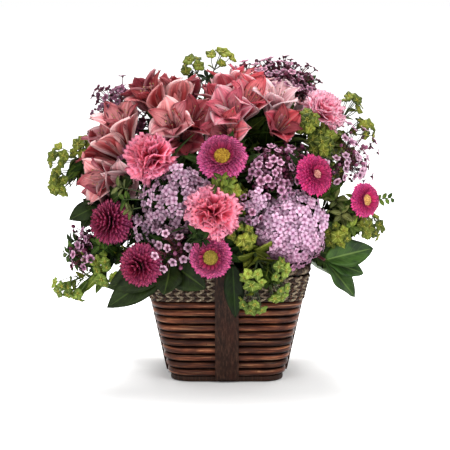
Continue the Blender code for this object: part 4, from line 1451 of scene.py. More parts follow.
def build_rope():
    """Three strands laid round each other along the rim."""
    height = RIM_HEIGHT - ROPE_RADIUS
    loop = evenly(rounded_square(half_width(height) - ROPE_RADIUS, CORNER_RADIUS, 10, 12), ROPE_POINTS)
    strands = []
    for strand in range(3):
        path = []
        for number, (place, out) in enumerate(loop):
            turn = math.tau * (ROPE_TURNS * number / len(loop) + strand / 3)
            there = Vector((
                place.x + out.x * STRAND_SWAY * math.cos(turn),
                place.y + out.y * STRAND_SWAY * math.cos(turn),
                height + STRAND_SWAY * math.sin(turn),
            ))
            path.append((there, STRAND_RADIUS))
        strands.append(path)
    rope = stalks("rim_rope_seagrass", strands, "twine", 8, closed=True, tones=ROPE_TONES)
    put_in_place(rope, "woven_band", "rim_rope")


def slat_section():
    """Points round a slat's section, with its edges taken off."""
    section = []
    across = 12
    for side in (1, -1):
        for step in range(across + 1):
            x = (SLAT_WIDTH / 2 - SLAT_EDGE) * (1 - 2 * step / across) * side
            section.append((x, SLAT_THICK / 2 * side))
        for share in (0.75, -0.75):
            section.append((-(SLAT_WIDTH / 2 - 0.25 * MM) * side, SLAT_THICK / 2 * side * share))
    return section


def slat_rings(bm, number, length):
    """Rings of points up a slat, with a raised grain, a slight warp and softened ends."""
    rings = []
    for row in range(SLAT_ROWS + 1):
        z = (row / SLAT_ROWS - 0.5) * length
        close = 0.82 if row in (0, SLAT_ROWS) else 1.0
        warp = noise.noise(Vector((number * 3.3, z * 11, 2.0))) * SLAT_WARP
        ring = []
        for x, y in slat_section():
            ridge = noise.noise(Vector((x * 420, number * 9 + (1 if y > 0 else 5), z * 14)))
            deep = y * close + (ridge * SLAT_RIDGE if abs(y) > SLAT_THICK * 0.45 else 0)
            wide = x * (1 - (1 - close) * 0.06) + (warp if abs(x) > SLAT_WIDTH * 0.44 else 0)
            ring.append(bm.verts.new((wide, deep, z)))
        rings.append(ring)
    return rings


def build_slats():
    """A dark board up the middle of each side."""
    slope = math.atan2(RIM_HALF - FLOOR_HALF, RIM_HEIGHT)
    length = (RIM_HEIGHT - SLAT_FOOT) / math.cos(slope)
    middle = (RIM_HEIGHT + SLAT_FOOT) / 2
    out = half_width(middle) + (GAP + SLAT_THICK / 2) / math.cos(slope)
    for number, side in enumerate(("front", "right", "back", "left")):
        bm = bmesh.new()
        close_round(bm, slat_rings(bm, number, length))
        bmesh.ops.remove_doubles(bm, verts=bm.verts, dist=1e-6)
        bmesh.ops.recalc_face_normals(bm, faces=bm.faces)
        turn = number * math.pi / 2
        place = Matrix.Translation((math.sin(turn) * out, -math.cos(turn) * out, middle))
        bm.transform(place @ Matrix.Rotation(turn, 4, "Z") @ Matrix.Rotation(slope, 4, "X"))
        put_in_place(board(f"slat_{side}_wood", bm), "dark_wood", "slat_" + side)


def finish_inside():
    """The liner and foam keep their solids and get their finishes."""
    for name, finish in (("liner", "liner"), ("floral_foam", "foam")):
        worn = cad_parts[name].data.materials
        worn.clear()
        worn.append(FINISHES[finish])


# Asters

# Petals, centre, and the centre's share of the head, where 0 is a full head without one
ASTER_LOOKS = [
    ("bright_magenta", "gold", 0.31), ("hot_pink", "cream", 0.20), ("bright_pink", "straw", 0.30),
    ("magenta", "olive_gold", 0.34), ("deep_magenta", "gold", 0), ("deep_magenta", "gold", 0),
    ("magenta", "gold", 0.34), ("hot_pink", "gold", 0.26),
]
# The aster that looks more to the front than its stem does, and has a leafy sprig beside it
TURNED_ASTER = 3
TURNED_BY = -12


def open_rows(disc):
    """Rows of petals round an open centre, from the outside in: count, root, length, lift, root height."""
    rows = []
    root = 0.92 * disc
    for number in range(8):
        share = number / 7
        reach = 1.0 - (0.80 - disc) * share**1.3
        lift = -8 + 64 * share
        length = (reach - root) / math.cos(math.radians(lift))
        rows.append((42 - 2 * number, root, length, lift, 0.10 * share - 0.06))
    return rows


def full_rows():
    """Rows of petals that close into a ball."""
    rows = []
    for number in range(10):
        lift = -38 + 13 * number
        level = math.radians(lift)
        count = max(6, round(34 * math.cos(level)))
        rows.append((count, 0.26 * math.cos(level), 0.80, lift, 0.26 * math.sin(level)))
    return rows


def aster_petals(head, radius, disc, rng):
    turned = head.to_3x3()
    width = radius * (0.86 if disc else 0.92)
    rows = open_rows(disc) if disc else full_rows()
    petals = []
    for row, (count, root, length, rise, height) in enumerate(rows):
        for k in range(count):
            out = spoke(math.tau * (k + 0.5 * (row % 2)) / count + rng.uniform(-0.03, 0.03))
            slope = math.radians(rise + rng.uniform(-4, 4))
            way = out * math.cos(slope) + Vector((0, 0, math.sin(slope)))
            up = Vector((0, 0, math.cos(slope))) - out * math.sin(slope)
            start = out * root * radius + Vector((0, 0, height * radius))
            long = length * radius * rng.uniform(0.97, 1.02)
            # The tone grows row by row towards the middle, where the finish paints shade
            petals.append(spot(head @ start, turned @ way, turned @ up, width, long, row / len(rows)))
    return petals


def aster_bracts(head, radius):
    """The small green leaves under the petals."""
    turned = head.to_3x3()
    bracts = []
    for k in range(18):
        out = spoke(math.tau * k / 18)
        start = head @ (out * 0.06 * radius + Vector((0, 0, -0.20 * radius)))
        way = turned @ (out * 0.9 + Vector((0, 0, 0.25)))
        bracts.append(spot(start, way, turned @ Vector((0, 0, 1)), radius * 0.6, radius * 0.55))
    return bracts


def aster_florets(head, radius, disc):
    """The tiny florets of an open centre, in a spiral over its dome."""
    florets = []
    count = round(900 * disc * disc) + 24
    for k in range(count):
        far = disc * math.sqrt((k + 0.5) / count)
        angle = k * GOLDEN_ANGLE
        out = Vector((far * math.cos(angle), far * math.sin(angle), 0.13 - 0.7 * far * far))
        lean = Vector((out.x * 1.6, out.y * 1.6, 1)).normalized()
        florets.append(spot_of(head @ facing(out * radius, lean, k), radius * (0.042 + 0.05 * far)))
    return florets


def aster_sprig():
    """A small leafy twig beside the head."""
    twig = bent(from_mm((150, -52, 192)), from_mm((177, -50, 200)), Vector((0, 0, 2 * MM)), 0.8 * MM, 0.6, 9)
    leaves = []
    for k in range(7):
        way = Vector((0.7, 0.5 * math.sin(2.3 * k), 1.0 if k % 2 else -1.0))
        leaves.append(spot(twig[3 + k][0], way, Vector((0, -1, 0.3)), 8 * MM, 8 * MM))
    return [
        stalks("sprig", [twig], "stalk", 5),
        set_out("sprig_leaves", "oval", leaves, "mid_leaf", seed=TURNED_ASTER),
    ]


def build_asters():
    for number, (place, turn, lift, radius) in enumerate(ASTERS, 1):
        rng = random.Random(SEED + number)
        name = f"aster_{number}"
        colour, centre, disc = ASTER_LOOKS[number - 1]
        towards = direction(turn + TURNED_BY if number == TURNED_ASTER else turn, lift)
        radius *= MM
        head = facing(from_mm(place) - towards * 0.05 * radius, towards, number)
        petals = aster_petals(head, radius, disc, rng)
        stem = stem_path(name, from_mm(place) - towards * 0.22 * radius, towards, FLOWER_STEM)
        leaves = leaves_up(stem, "aster", rng)
        parts = [
            stalks("stem", [stem], "stalk", 8),
            set_out("petals", "aster_petal", petals, colour, seed=number),
            set_out("bracts", "lance", aster_bracts(head, radius), "mid_leaf", seed=number),
        ]
        if disc:
            across = disc * 1.8 * radius
            pad = head @ Vector((0, 0, 0.06 * radius))
            pads = [(pad, towards.to_track_quat("Z", "Y"), (across, across, 0.10 * radius), 0.0)]
            florets = aster_florets(head, radius, disc)
            parts.append(set_out("centre", "bead", florets, centre, change=0.15, seed=number))
            parts.append(set_out("pad", "bead", pads, centre, change=0.0))
        if number == TURNED_ASTER:
            parts += aster_sprig()
        parts.append(set_out("leaves", "lance", leaves, "dark_leaf", seed=number))
        put_in_place(joined(name + "_flower", parts), "aster", name)


# Carnations

CARNATION_LOOKS = ["coral", "salmon", "pale_pink", "salmon"]
# Rows of petals from the outside in: count, how high each tip is on the head, length share
CARNATION_ROWS = [
    (8, -14, 1.0), (8, 4, 1.0), (8, 20, 1.0), (7, 36, 0.97),
    (6, 50, 0.95), (5, 64, 0.93), (4, 76, 0.9), (2, 86, 0.88),
]


def carnation_petals(head, radius, rng):
    """Ruffled petals that fill a ball, in one list for each of their shapes."""
    turned = head.to_3x3()
    root = Vector((0, 0, -0.55 * radius))
    petals = [[] for _ in range(CARNATION_SHAPES)]
    for row, (count, high, share) in enumerate(CARNATION_ROWS):
        wide = radius * (1.40 - 0.09 * row)
        for k in range(count):
            out = spoke(math.tau * (k + 0.5 * (row % 2)) / count + rng.uniform(-0.2, 0.2))
            tilt = math.radians(high + rng.uniform(-14, 14))
            tip = (out * math.cos(tilt) * 0.98 + Vector((0, 0, 0.80 * math.sin(tilt)))) * radius * share
            way = tip - root
            up = Matrix.Rotation(rng.uniform(-0.8, 0.8), 3, way) @ (Vector((0, 0, 1)) - out * 0.6)
            long = way.length * rng.uniform(0.86, 1.06)
            # The tone grows row by row towards the middle, where the finish paints shade
            made = spot(head @ root, turned @ way, turned @ up, wide, long, row / len(CARNATION_ROWS))
            petals[rng.randrange(CARNATION_SHAPES)].append(made)
    return petals


def build_carnations():
    for number, (place, turn, lift, radius) in enumerate(CARNATIONS, 1):
        rng = random.Random(SEED * 3 + number)
        name = f"carnation_{number}"
        towards = direction(turn, lift)
        radius *= MM
        petals = carnation_petals(facing(from_mm(place), towards, number), radius, rng)
        stem = stem_path(name, from_mm(place) - towards * 0.9 * radius, towards, FLOWER_STEM)
        cup = facing(from_mm(place) - towards * radius, towards)
        leaves = leaves_up(stem, "carnation", rng)
        look = CARNATION_LOOKS[number - 1]
        parts = [
            stalks("stem", [stem], "stalk", 8),
            set_out("calyx", "calyx", [spot_of(cup, 17 * MM)], "stalk", change=0.0),
        ]
        for shape, some in enumerate(petals):
            parts.append(set_out("petals", f"carnation_petal_{shape}", some, look, seed=number + shape))
        parts.append(set_out("leaves", "grass", leaves, "grey_leaf", seed=number))
        put_in_place(joined(name + "_flower", parts), "carnation", name)


# Hydrangeas

# Florets, the nearest and the farthest of them as shares of the radius, and their finish
# The first head's finish is a darker copy of the others': painted shade for the head on the left, away from
# the key lamp
HYDRANGEA_LOOKS = [
    (230, 0.74, 1.04, "lavender_painted_shade"), (390, 0.82, 1.02, "lavender"), (390, 0.82, 1.02, "lavender"),
]
# The head that has gaps between its florets
LOOSE_HYDRANGEA = 1
# Loose florets at each of their places, and how far they stand from it in millimetres
STRAY_COUNT = 11
STRAY_REACH = 11


def hydrangea_dome(number, middle, towards, radius, fork, rng):
    """Florets over a round head, and the stalk of each."""
    florets, paths = [], []
    count, least, most, _ = HYDRANGEA_LOOKS[number - 1]
    turned = towards.to_track_quat("Z", "Y").to_matrix()
    for k in range(count):
        out = turned @ on_a_dome(math.acos(1 - 1.50 * (k + 0.5) / count), k * GOLDEN_ANGLE)
        if number == LOOSE_HYDRANGEA and noise.noise(out * 3.4 + Vector((3.1, 0, 0))) < -0.16:
            continue
        far = radius * (rng.uniform(least, most) + 0.05 * noise.noise(out * 2.4 + Vector((number, 0, 0))))
        there = middle + out * far
        lean = (out + towards * 0.45 + any_way(rng) * 0.6).normalized()
        size = rng.uniform(4.4, 6.0) * MM
        # The tone grows towards the underside of the head, where the finish paints shade
        florets.append(spot_of(facing(there, lean, rng.uniform(0, 6.28)), size, max(0.0, -out.z) * 0.8))
        paths.append(bent(fork, there - lean * 0.6 * MM, out * 0.04 * radius, 0.7 * MM, 0.7, 3))
    return florets, paths


def hydrangea_strays(number, middle, fork, rng):
    """Loose florets beside a head, and the stalk of each."""
    florets, paths = [], []
    for place in HYDRANGEA_STRAYS.get(number, []):
        place = from_mm(place)
        off = (place - middle).normalized()
        front = Vector((off.x * 0.4, -1.0, max(0.0, off.z) * 0.5))
        for k in range(STRAY_COUNT):
            aside = Vector((rng.uniform(-1, 1), rng.uniform(-0.4, 0.4), rng.uniform(-1, 1)))
            aside = aside * STRAY_REACH * MM
            lean = (front + aside / (12 * MM)).normalized()
            florets.append(spot_of(facing(place + aside, lean, k), rng.uniform(4.4, 5.8) * MM))
            paths.append(bent(fork, place + aside - lean * 0.6 * MM, Vector(), 0.7 * MM, 0.7, 3))
    return florets, paths


def build_hydrangeas():
    for number, (place, turn, lift, radius) in enumerate(HYDRANGEAS, 1):
        rng = random.Random(SEED * 5 + number)
        name = f"hydrangea_{number}"
        towards = direction(turn, lift)
        middle = from_mm(place)
        radius *= MM
        fork = middle - towards * 0.5 * radius
        florets, paths = hydrangea_dome(number, middle, towards, radius, fork, rng)
        strays, stray_paths = hydrangea_strays(number, middle, fork, rng)
        stem = stem_path(name, fork, towards, HEAVY_STEM)
        # A dark ball inside the head: painted shade that shows through the gaps between the florets
        core = [spot_of(facing(middle - towards * 0.12 * radius, towards), radius * 1.15)]
        leaves = leaves_up(stem, "hydrangea", rng)
        parts = [
            stalks("stem", [stem], "stalk", 8),
            stalks("floret_stalks", paths + stray_paths, "dark_leaf", 4),
            set_out("core", "bead", core, "dark_leaf", change=0.0),
            set_out("florets", "floret", florets + strays, HYDRANGEA_LOOKS[number - 1][3], seed=number),
            set_out("leaves", "broad", leaves, "dark_leaf", seed=number),
        ]
        parts += extra_leaves(name, stem, middle - towards * 0.4 * radius)
        put_in_place(joined(name + "_flower", parts), "hydrangea", name)


# Alstroemerias

BLOOM_LENGTH = 51 * MM
# The inner petals that go with each kind of outer petals
INNER_LOOKS = {
    "rose_red": "rose_streaked", "crimson_rose": "crimson_streaked", "scarlet_rose": "crimson_streaked",
    "coral_red": "coral_streaked", "blush": "blush",
}
# The outer petals of each bloom, in the order of the mouths
BLOOM_LOOKS = {
    "top_left": ["crimson_rose", "rose_red", "rose_red", "crimson_rose"],
    "top_centre": ["coral_red", "coral_red", "coral_red"],
    "right": ["scarlet_rose", "blush"],
    "left": ["rose_red", "rose_red", "crimson_rose"],
    "back": ["rose_red", "blush"],
}
# The bloom that is shorter than the rest, and its length share
SHORT_BLOOM = ("right", 0)
SHORT_SHARE = 0.86


def stamens(bloom, out, long):
    """Six threads that curve out of a bloom, and the anther at the end of each."""
    threads, anthers = [], []
    for k in range(6):
        side = spoke(k * math.tau / 6 + 0.3)
        path = []
        for step in range(6):
            t = step / 5
            curve = Vector((0.05 * t * t, 0, 0.78 * t - 0.06 * t * t))
            there = side * (0.03 + 0.13 * t) * long + curve * long
            path.append((bloom @ there, 0.45 * MM))
        threads.append(path)
        anthers.append(spot_of(facing(path[-1][0], out, k), 1.4 * MM))
    return threads, anthers


def bud_on_a_stalk(fork, aim, tip, long):
    """A closed bud along aim that ends at its tip, and its stalk from the fork."""
    back = aim.normalized() * long
    bud = spot(tip - back, aim, Vector((0, -1, 0.3)), long, long)
    return bud, bent(fork, tip - back * 0.9, Vector((0, 0, 1 * MM)), 1.1 * MM, 0.9, 4)


def bloom_buds(spray, fork, mouths, rng):
    """Buds between a spray's blooms, and those that are placed one by one."""
    made = []
    for first, second in zip(mouths, mouths[1:] + mouths[:1]):
        for share in (0.3, 0.7):
            aim = first.lerp(second, share) - fork
            tip = fork + aim * rng.uniform(0.80, 0.98)
            made.append(bud_on_a_stalk(fork, aim, tip, rng.uniform(17, 24) * MM))
    for tip in SINGLE_BUDS.get(spray, []):
        tip = from_mm(tip)
        made.append(bud_on_a_stalk(fork, tip - fork, tip, 21 * MM))
    return [bud for bud, _ in made], [path for _, path in made]


def fork_leaves(fork, arrive):
    """Leaves round a spray's fork, where they stay in the mound and off the blooms."""
    side = arrive.orthogonal().normalized()
    leaves = []
    for k in range(6):
        way = Matrix.Rotation(k * math.tau / 6, 3, arrive) @ side * 0.85 + arrive * 0.5
        tip = fork + way.normalized() * 34 * MM
        if in_the_mound(tip, 1.05) and clear_of_heads(tip, -6 * MM):
            leaves.append(spot(fork, way, arrive, 36 * MM, 36 * MM))
    return leaves


def build_alstroemerias():
    for index, (spray, (fork, mouths)) in enumerate(ALSTROEMERIAS.items()):
        rng = random.Random(SEED * 7 + index)
        name = "alstroemeria_" + spray
        fork = from_mm(fork)
        mouths = [from_mm(mouth) for mouth in mouths]
        arrive = (sum(mouths, Vector()) / len(mouths) - fork).normalized()
        stem = stem_path(name, fork, arrive, BLOOM_STEM)
        paths, outer, inner, threads, anthers = [stem], {}, {}, [], []
        blooms = list(zip(mouths, BLOOM_LOOKS[spray]))
        blooms += [(from_mm(mouth), look) for mouth, look in BLOOMS_BEHIND.get(spray, [])]
        for number, (mouth, look) in enumerate(blooms):
            out = (mouth - fork).normalized()
            base = mouth - out * 0.70 * BLOOM_LENGTH
            if (base - fork).dot(out) < 6 * MM:
                base = fork + out * 6 * MM
            paths.append(bent(fork, base + out * 1.5 * MM, Vector((0, 0, -1 * MM)), 1.5 * MM, 0.9, 4))
            long = BLOOM_LENGTH * rng.uniform(0.95, 1.05)
            if (spray, number) == SHORT_BLOOM:
                long *= SHORT_SHARE
            spin = rng.uniform(0, 2)
            for k in range(3):
                turn = facing(base, out, spin + k * math.tau / 3)
                petal = widened(spot_of(turn, long * rng.uniform(0.94, 1.03)), 1.34)
                outer.setdefault(look, []).append(petal)
                turn = facing(base, out, spin + k * math.tau / 3 + math.pi / 3)
                petal = widened(spot_of(turn, long * rng.uniform(0.96, 1.06)), 1.26)
                inner.setdefault(INNER_LOOKS[look], []).append(petal)
            some_threads, some_anthers = stamens(facing(base, out, spin), out, long)
            threads += some_threads
            anthers += some_anthers
        buds, bud_paths = bloom_buds(spray, fork, mouths, rng)
        leaves = leaves_up(stem, "alstroemeria", rng) + fork_leaves(fork, arrive)
        parts = [
            stalks("stem", paths + bud_paths, "stalk", 8),
            stalks("threads", threads, "rose_red", 5),
            set_out("buds", "flower_bud", buds, "crimson_rose", seed=index),
            set_out("anthers", "bead", anthers, "anther", seed=index),
        ]
        for shape, petals in (("outer_tepal", outer), ("inner_tepal", inner)):
            for look, some in petals.items():
                parts.append(set_out(shape, shape, some, look, change=0.0, seed=index))
        parts.append(set_out("leaves", "lance", leaves, "mid_leaf", seed=index))
        parts += extra_leaves(name, stem, fork)
        put_in_place(joined(name + "_spray", parts), "alstroemeria", name)


# Waxflowers

WAX_LOOKS = {
    "centre": "wax_pink", "top": "wax_rose", "top_left": "wax_lilac", "right": "wax_pale",
    "low_centre": "wax_pale", "low_left": "wax_pink", "back": "wax_pink",
}
WAX_SIZE = {"low_centre": 1.02, "centre": 0.98}
# Dark closed buds beside each floret, where they aren't three
WAX_BUDS = {"centre": 6, "top": 6, "top_left": 1, "right": 1, "low_centre": 5}
# How far a spray's florets reach, for those that reach further than their fork says
WAX_SPREAD = {"top": 1.32, "right": 1.12, "centre": 1.06}
# The spray with thin stalks and few needles and leaves
THIN_SPRAY = "right"


def build_waxflowers():
    for index, (spray, own) in enumerate(WAXFLOWERS.items()):
        rng, bud_rng = random.Random(SEED * 11 + index), random.Random(SEED * 19 + index)
        name = "waxflower_" + spray
        root = from_mm(own[0])
        thin = spray == THIN_SPRAY
        arms = WAX_ARMS.get(spray, [])
        stem = stem_path(name, root, direction(own[1], own[2]), THIN_STEM)
        paths, florets, buds, dark_buds, needles = [stem], [], [], [], []
        paths += [bent(root, from_mm(arm[0]), Vector((0, 0, -2 * MM)), 1.1 * MM, 0.8, 5) for arm in arms]
        for fork, turn, lift, reach, spread, count in [own] + arms:
            fork, towards = from_mm(fork), direction(turn, lift)
            turned = towards.to_track_quat("Z", "Y").to_matrix()
            for k in range(count):
                tilt = math.radians(spread * 1.4) * math.sqrt((k + 0.4) / count)
                out = turned @ on_a_dome(tilt, k * GOLDEN_ANGLE)
                mouth = fork + out * reach * MM * rng.uniform(0.62, 1.12) * WAX_SPREAD.get(spray, 1.0)
                lean = (out + towards * 0.3 + any_way(rng) * 0.35).normalized()
                size = rng.uniform(4.4, 5.6) * MM * WAX_SIZE.get(spray, 1.0)
                thick = (0.45 if thin else 0.75) * MM
                stalk = bent(fork, mouth - lean * 0.40 * size, towards * reach * MM * 0.08, thick, 0.6, 5)
                paths.append(stalk)
                for _ in range(WAX_BUDS.get(spray, 3)):
                    aside = any_way(bud_rng) * 6 * MM
                    at = mouth - out * bud_rng.uniform(5, 12) * MM + aside
                    dark_buds.append(spot_of(facing(at, lean, k), 2.6 * MM))
                    paths.append(bent(stalk[3][0], at, Vector(), 0.5 * MM, 0.8, 2))
                if rng.random() < 0.16:
                    buds.append(spot_of(facing(mouth, lean, k), size * 0.75))
                else:
                    florets.append(spot_of(facing(mouth, lean, rng.uniform(0, 6)), size))
                for at, _ in [] if thin else stalk[1:3]:
                    aside = beside(out, rng.uniform(0, 6.28))
                    long = rng.uniform(8, 14) * MM
                    needles.append(spot(at, out * 0.7 + aside, out, long, long))
        needles += leaves_up(stem, "thin_needles" if thin else "needles", rng, 1.0, 0.0)
        leaves = leaves_up(stem, "thin_waxflower" if thin else "waxflower", rng)
        parts = [
            stalks("stem", paths, "red_stalk", 5),
            set_out("petals", "wax_petals", florets, WAX_LOOKS[spray], seed=index),
            set_out("cups", "wax_cup", florets, "wax_cup", seed=index),
            set_out("dark_buds", "bead", dark_buds, "wax_cup", change=0.3, seed=index),
            set_out("needles", "needle", needles, "mid_leaf", seed=index),
            set_out("buds", "bead", buds, WAX_LOOKS[spray], seed=index),
            set_out("leaves", "lance", leaves, "dark_leaf", seed=index),
        ]
        parts += extra_leaves(name, stem, root)
        put_in_place(joined(name + "_spray", parts), "waxflower", name)


# Bupleurums

RUFF_LOOKS = {"spill": "fresh_green", "left_low": "fresh_green"}
# Small heads round each ruff's main one, where it isn't six
RUFF_HEADS = {"left": 5, "left_low": 5, "top": 4}
# Sprays whose ruffs stand apart, with the background between them
AIRY_SPRAYS = ("left", "left_low", "top")


def ruff_heads(spray, number, main, ruff, out, rng):
    """A ruff's heads, each with its direction and radius, and the stalks of the small ones."""
    front = Vector((0, 0.6 if spray == "back" else -0.6, 0.2))
    heads, paths = [(ruff, out + front, 9.5 * MM)], []
    count = RUFF_HEADS.get(spray, 6)
    for k in range(count):
        aside = beside(out, k * 6.3 / count + number)
        place = ruff + aside * rng.uniform(8, 12) * MM - out * rng.uniform(1, 9) * MM
        heads.append((place, out + front + aside * 0.8, rng.uniform(6, 8.5) * MM))
        paths.append(bent(main[3][0], place, aside * 1.5 * MM, 0.6 * MM, 0.7, 4))
    return heads, paths


def umbel_beads(place, lean, size):
    """The tiny flowers in the middle of a ruff."""
    turned = facing(place, lean)
    beads = []
    for k in range(7):
        far = 0.30 * size * math.sqrt(k / 7)
        angle = k * GOLDEN_ANGLE
        at = turned @ Vector((far * math.cos(angle), far * math.sin(angle), 0.16 * size))
        beads.append(spot_of(facing(at, lean, k), 1.1 * MM))
    return beads


def leaves_between(fork, ruffs, rng):
    """Dark leaves between a spray's ruffs, off the heads and not at the far sides."""
    leaves = []
    for ruff in ruffs:
        out = (ruff - fork).normalized()
        for _ in range(4):
            at = fork.lerp(ruff, rng.uniform(0.25, 0.85))
            aside = beside(out, rng.uniform(0, 6.28))
            long = rng.uniform(12, 18) * MM
            if clear_of_heads(at + aside * long) and abs(at.x) < DARK_LEAF_REACH:
                leaves.append(spot(at, out * 0.5 + aside, out, long * 1.2, long))
    for first, second in zip(ruffs, ruffs[1:] + ruffs[:1]):
        aim = first.lerp(second, 0.5)
        start = fork.lerp(aim, 0.25)
        long = (aim - start).length * 0.92
        if clear_of_heads(aim) and abs(aim.x) < DARK_LEAF_REACH:
            leaves.append(spot(start, aim - start, Vector((0, -1, 0.6)), long * 1.25, long))
    return leaves


def build_bupleurums():
    for index, (spray, (fork, ruffs)) in enumerate(BUPLEURUMS.items()):
        rng = random.Random(SEED * 13 + index)
        name = "bupleurum_" + spray
        airy = spray in AIRY_SPRAYS
        fork = from_mm(fork)
        ruffs = [from_mm(ruff) for ruff in ruffs]
        arrive = (sum(ruffs, Vector()) / len(ruffs) - fork).normalized()
        stem = stem_path(name, fork, arrive, THIN_STEM)
        paths, rounds, beads, ovals = [stem], [], [], []
        for number, ruff in enumerate(ruffs):
            out = (ruff - fork).normalized()
            main = bent(fork, ruff, Vector((0, 0, 2 * MM)), 0.9 * MM, 0.7, 6)
            heads, head_paths = ruff_heads(spray, number, main, ruff, out, rng)
            paths += [main] + head_paths
            for place, lean, size in heads:
                rounds.append(spot_of(facing(place, lean, rng.uniform(0, 6)), size))
                beads += umbel_beads(place, lean, size)
            for at, _ in main[3:5] if airy else main[1:5]:
                aside = beside(out, rng.uniform(0, 6.28))
                long = rng.uniform(13, 19) * MM
                ovals.append(spot(at, out * 0.6 + aside, out, long, long))
        dark = [] if airy else leaves_between(fork, ruffs, rng)
        ovals += leaves_up(stem, "low_bupleurum" if spray == "left_low" else "bupleurum", rng, 1.0)
        parts = [
            stalks("stem", paths, "stalk", 5),
            set_out("ruffs", "ruff", rounds, RUFF_LOOKS.get(spray, "yellow_green"), seed=index),
            set_out("umbels", "bead", beads, "umbel", seed=index),
            set_out("ovals", "oval", ovals, "yellow_green", seed=index + 5),
            set_out("dark", "oval", dark, "mid_leaf", seed=index + 8),
        ]
        parts += extra_leaves(name, stem, fork)
        put_in_place(joined(name + "_spray", parts), "bupleurum", name)


# Salal

# Sprays whose leaves face the front
FRONT_SPRAYS = ("low_left", "left")


def build_salals():
    for index, (spray, (end, turn, lift, leaves)) in enumerate(SALALS.items()):
        rng = random.Random(SEED * 17 + index)
        name = "salal_" + spray
        end = from_mm(end)
        stem = stem_path(name, end, direction(turn, lift), THIN_STEM)
        spots = []
        for tip, width in leaves:
            tip = from_mm(tip)
            middle = (end + tip) / 2
            up = Vector((middle.x, middle.y, 0)).normalized() + Vector((0, 0, 0.7))
            if spray in FRONT_SPRAYS:
                up = Vector((-0.25, -1.0, 0.3))
            spots.append(spot(end, tip - end, up, width * MM, (tip - end).length, rng.random()))
        for number in range(5) if spray == "left" else []:
            root = end - direction(turn, lift) * 4 * MM * number
            way = direction(turn + 40 * (number - 2), 24 - 14 * number)
            spots.append(spot(root, way, Vector((0, -0.5, 1)), 17 * MM, 26 * MM, rng.random()))
        inner = leaves_up(stem, "salal", rng)
        # The sprays on the right get the salal finish, the others its darker copy, which is painted shade
        look = "salal_leaf" if "right" in spray else "salal_painted_shade"
        parts = [
            stalks("stem", [stem], "red_stalk", 7),
            set_out("leaves", "salal", spots, look, change=0.0, seed=index),
            set_out("inner", "broad", inner, "dark_leaf", seed=index),
        ]
        put_in_place(joined(name + "_stem", parts), "salal", name)


# Floor, sky, lamps and camera

FLOOR_HALF_SIZE = 30
FLOOR_DROP = 0.5 * MM
# How much a distance from the basket's shade counts along each axis, and the middle of the shade in it
SHADE_SHARES = (0.6, 2.0, 1)
SHADE_MIDDLE = (0.0, -0.12, 0.0)
# Two such distances between which the floor's own light grows, and the light at each
NEAR_GLOW = (0.09, 0.40, 0.0, 0.40)
FAR_GLOW = (0.6, 2.4, 0.0, 0.16)
SKY_STRENGTH = 0.69
LAMP_TARGET = Vector((0, 0, 0.18))
# Name, place, size, power
LAMPS = [
    ("key_light", (1.6, -1.7, 1.9), 2.0, 40.0),
    ("fill_light", (-1.4, -1.6, 1.5), 2.0, 18.0),
    ("top_light", (0.0, 0.8, 2.0), 0.8, 44.0),
    ("back_left_light", (-1.1, 0.9, 2.0), 0.8, 6.0),
    ("back_right_light", (1.1, 1.0, 2.0), 0.8, 5.0),
]
CAMERA_TARGET = Vector((-0.002, 0, 0.1635))
CAMERA_DISTANCE = 1.9
CAMERA_TILT = math.radians(8)
SENSOR_WIDTH = 36.0
LENS_LENGTH = 136.8


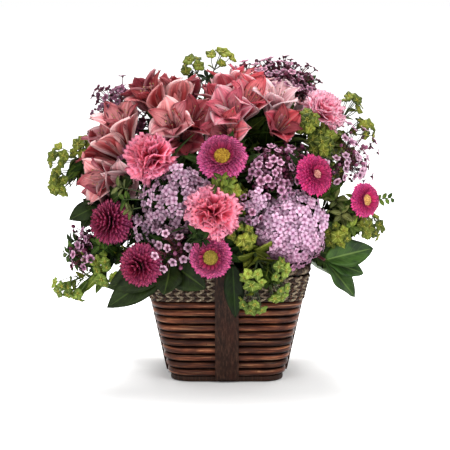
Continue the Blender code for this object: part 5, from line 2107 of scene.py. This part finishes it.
def lay_the_floor():
    """A pale floor that glows a little, less so where the basket shades it."""
    mesh = bpy.data.meshes.new("studio_floor")
    bm = bmesh.new()
    bmesh.ops.create_grid(bm, x_segments=8, y_segments=8, size=FLOOR_HALF_SIZE)
    bm.to_mesh(mesh)
    bm.free()
    skin = Finish("pale_floor", 0.85, 0.1)
    grain = skin.speckle(30.0, 2.0)
    colour = skin.run(grain, [(0.0, (250, 250, 250)), (1.0, (253, 253, 253))])
    skin.put("Emission Color", (1, 1, 1, 1))
    feeds = {0: skin.stretched(*SHADE_SHARES), 1: SHADE_MIDDLE}
    away = skin.node("ShaderNodeVectorMath", feeds, operation="DISTANCE").outputs["Value"]
    glow = skin.sums("ADD", skin.span(away, *NEAR_GLOW), skin.span(away, *FAR_GLOW))
    skin.tree.links.new(glow, skin.skin.inputs["Emission Strength"])
    mesh.materials.append(skin.wear(colour, skin.span(grain, 0.3, 0.7, 0.82, 0.88), grain, 0.02, 0.0002))
    floor = bpy.data.objects.new("studio_floor", mesh)
    floor.location.z = -FLOOR_DROP
    add_to_scene(floor)


def light_the_sky():
    """A soft sky that the camera sees as plain white."""
    world = bpy.data.worlds.new("soft_studio")
    world.use_nodes = True
    tree = world.node_tree
    rays = tree.nodes.new("ShaderNodeLightPath")
    soft = tree.nodes["Background"]
    plain = tree.nodes.new("ShaderNodeBackground")
    either = tree.nodes.new("ShaderNodeMixShader")
    for sky in (soft, plain):
        sky.inputs["Color"].default_value = (1, 1, 1, 1)
    soft.inputs["Strength"].default_value = SKY_STRENGTH
    tree.links.new(rays.outputs["Is Camera Ray"], either.inputs[0])
    tree.links.new(soft.outputs[0], either.inputs[1])
    tree.links.new(plain.outputs[0], either.inputs[2])
    tree.links.new(either.outputs[0], tree.nodes["World Output"].inputs["Surface"])
    bpy.context.scene.world = world


def hang_the_lamps():
    for name, place, size, power in LAMPS:
        lamp = bpy.data.lights.new(name, "AREA")
        lamp.energy = power
        lamp.size = size
        light = bpy.data.objects.new(name, lamp)
        light.location = place
        light.rotation_euler = (LAMP_TARGET - Vector(place)).to_track_quat("-Z", "Y").to_euler()
        add_to_scene(light)


def set_the_camera():
    lens = bpy.data.cameras.new("photo_camera")
    lens.sensor_width = SENSOR_WIDTH
    lens.lens = LENS_LENGTH
    camera = bpy.data.objects.new("photo_camera", lens)
    onward = Vector((0, math.cos(CAMERA_TILT), -math.sin(CAMERA_TILT)))
    camera.location = CAMERA_TARGET - onward * CAMERA_DISTANCE
    camera.rotation_euler = onward.to_track_quat("-Z", "Y").to_euler()
    add_to_scene(camera)
    bpy.context.scene.camera = camera
    look = bpy.context.scene.view_settings
    look.view_transform = "Standard"
    look.look = "None"
    look.exposure = 0.0
    look.gamma = 1.0


lay_the_floor()
light_the_sky()
hang_the_lamps()
set_the_camera()
build_base()
build_rods()
build_band()
build_rope()
build_slats()
finish_inside()
build_asters()
build_carnations()
build_hydrangeas()
build_alstroemerias()
build_waxflowers()
build_bupleurums()
build_salals()
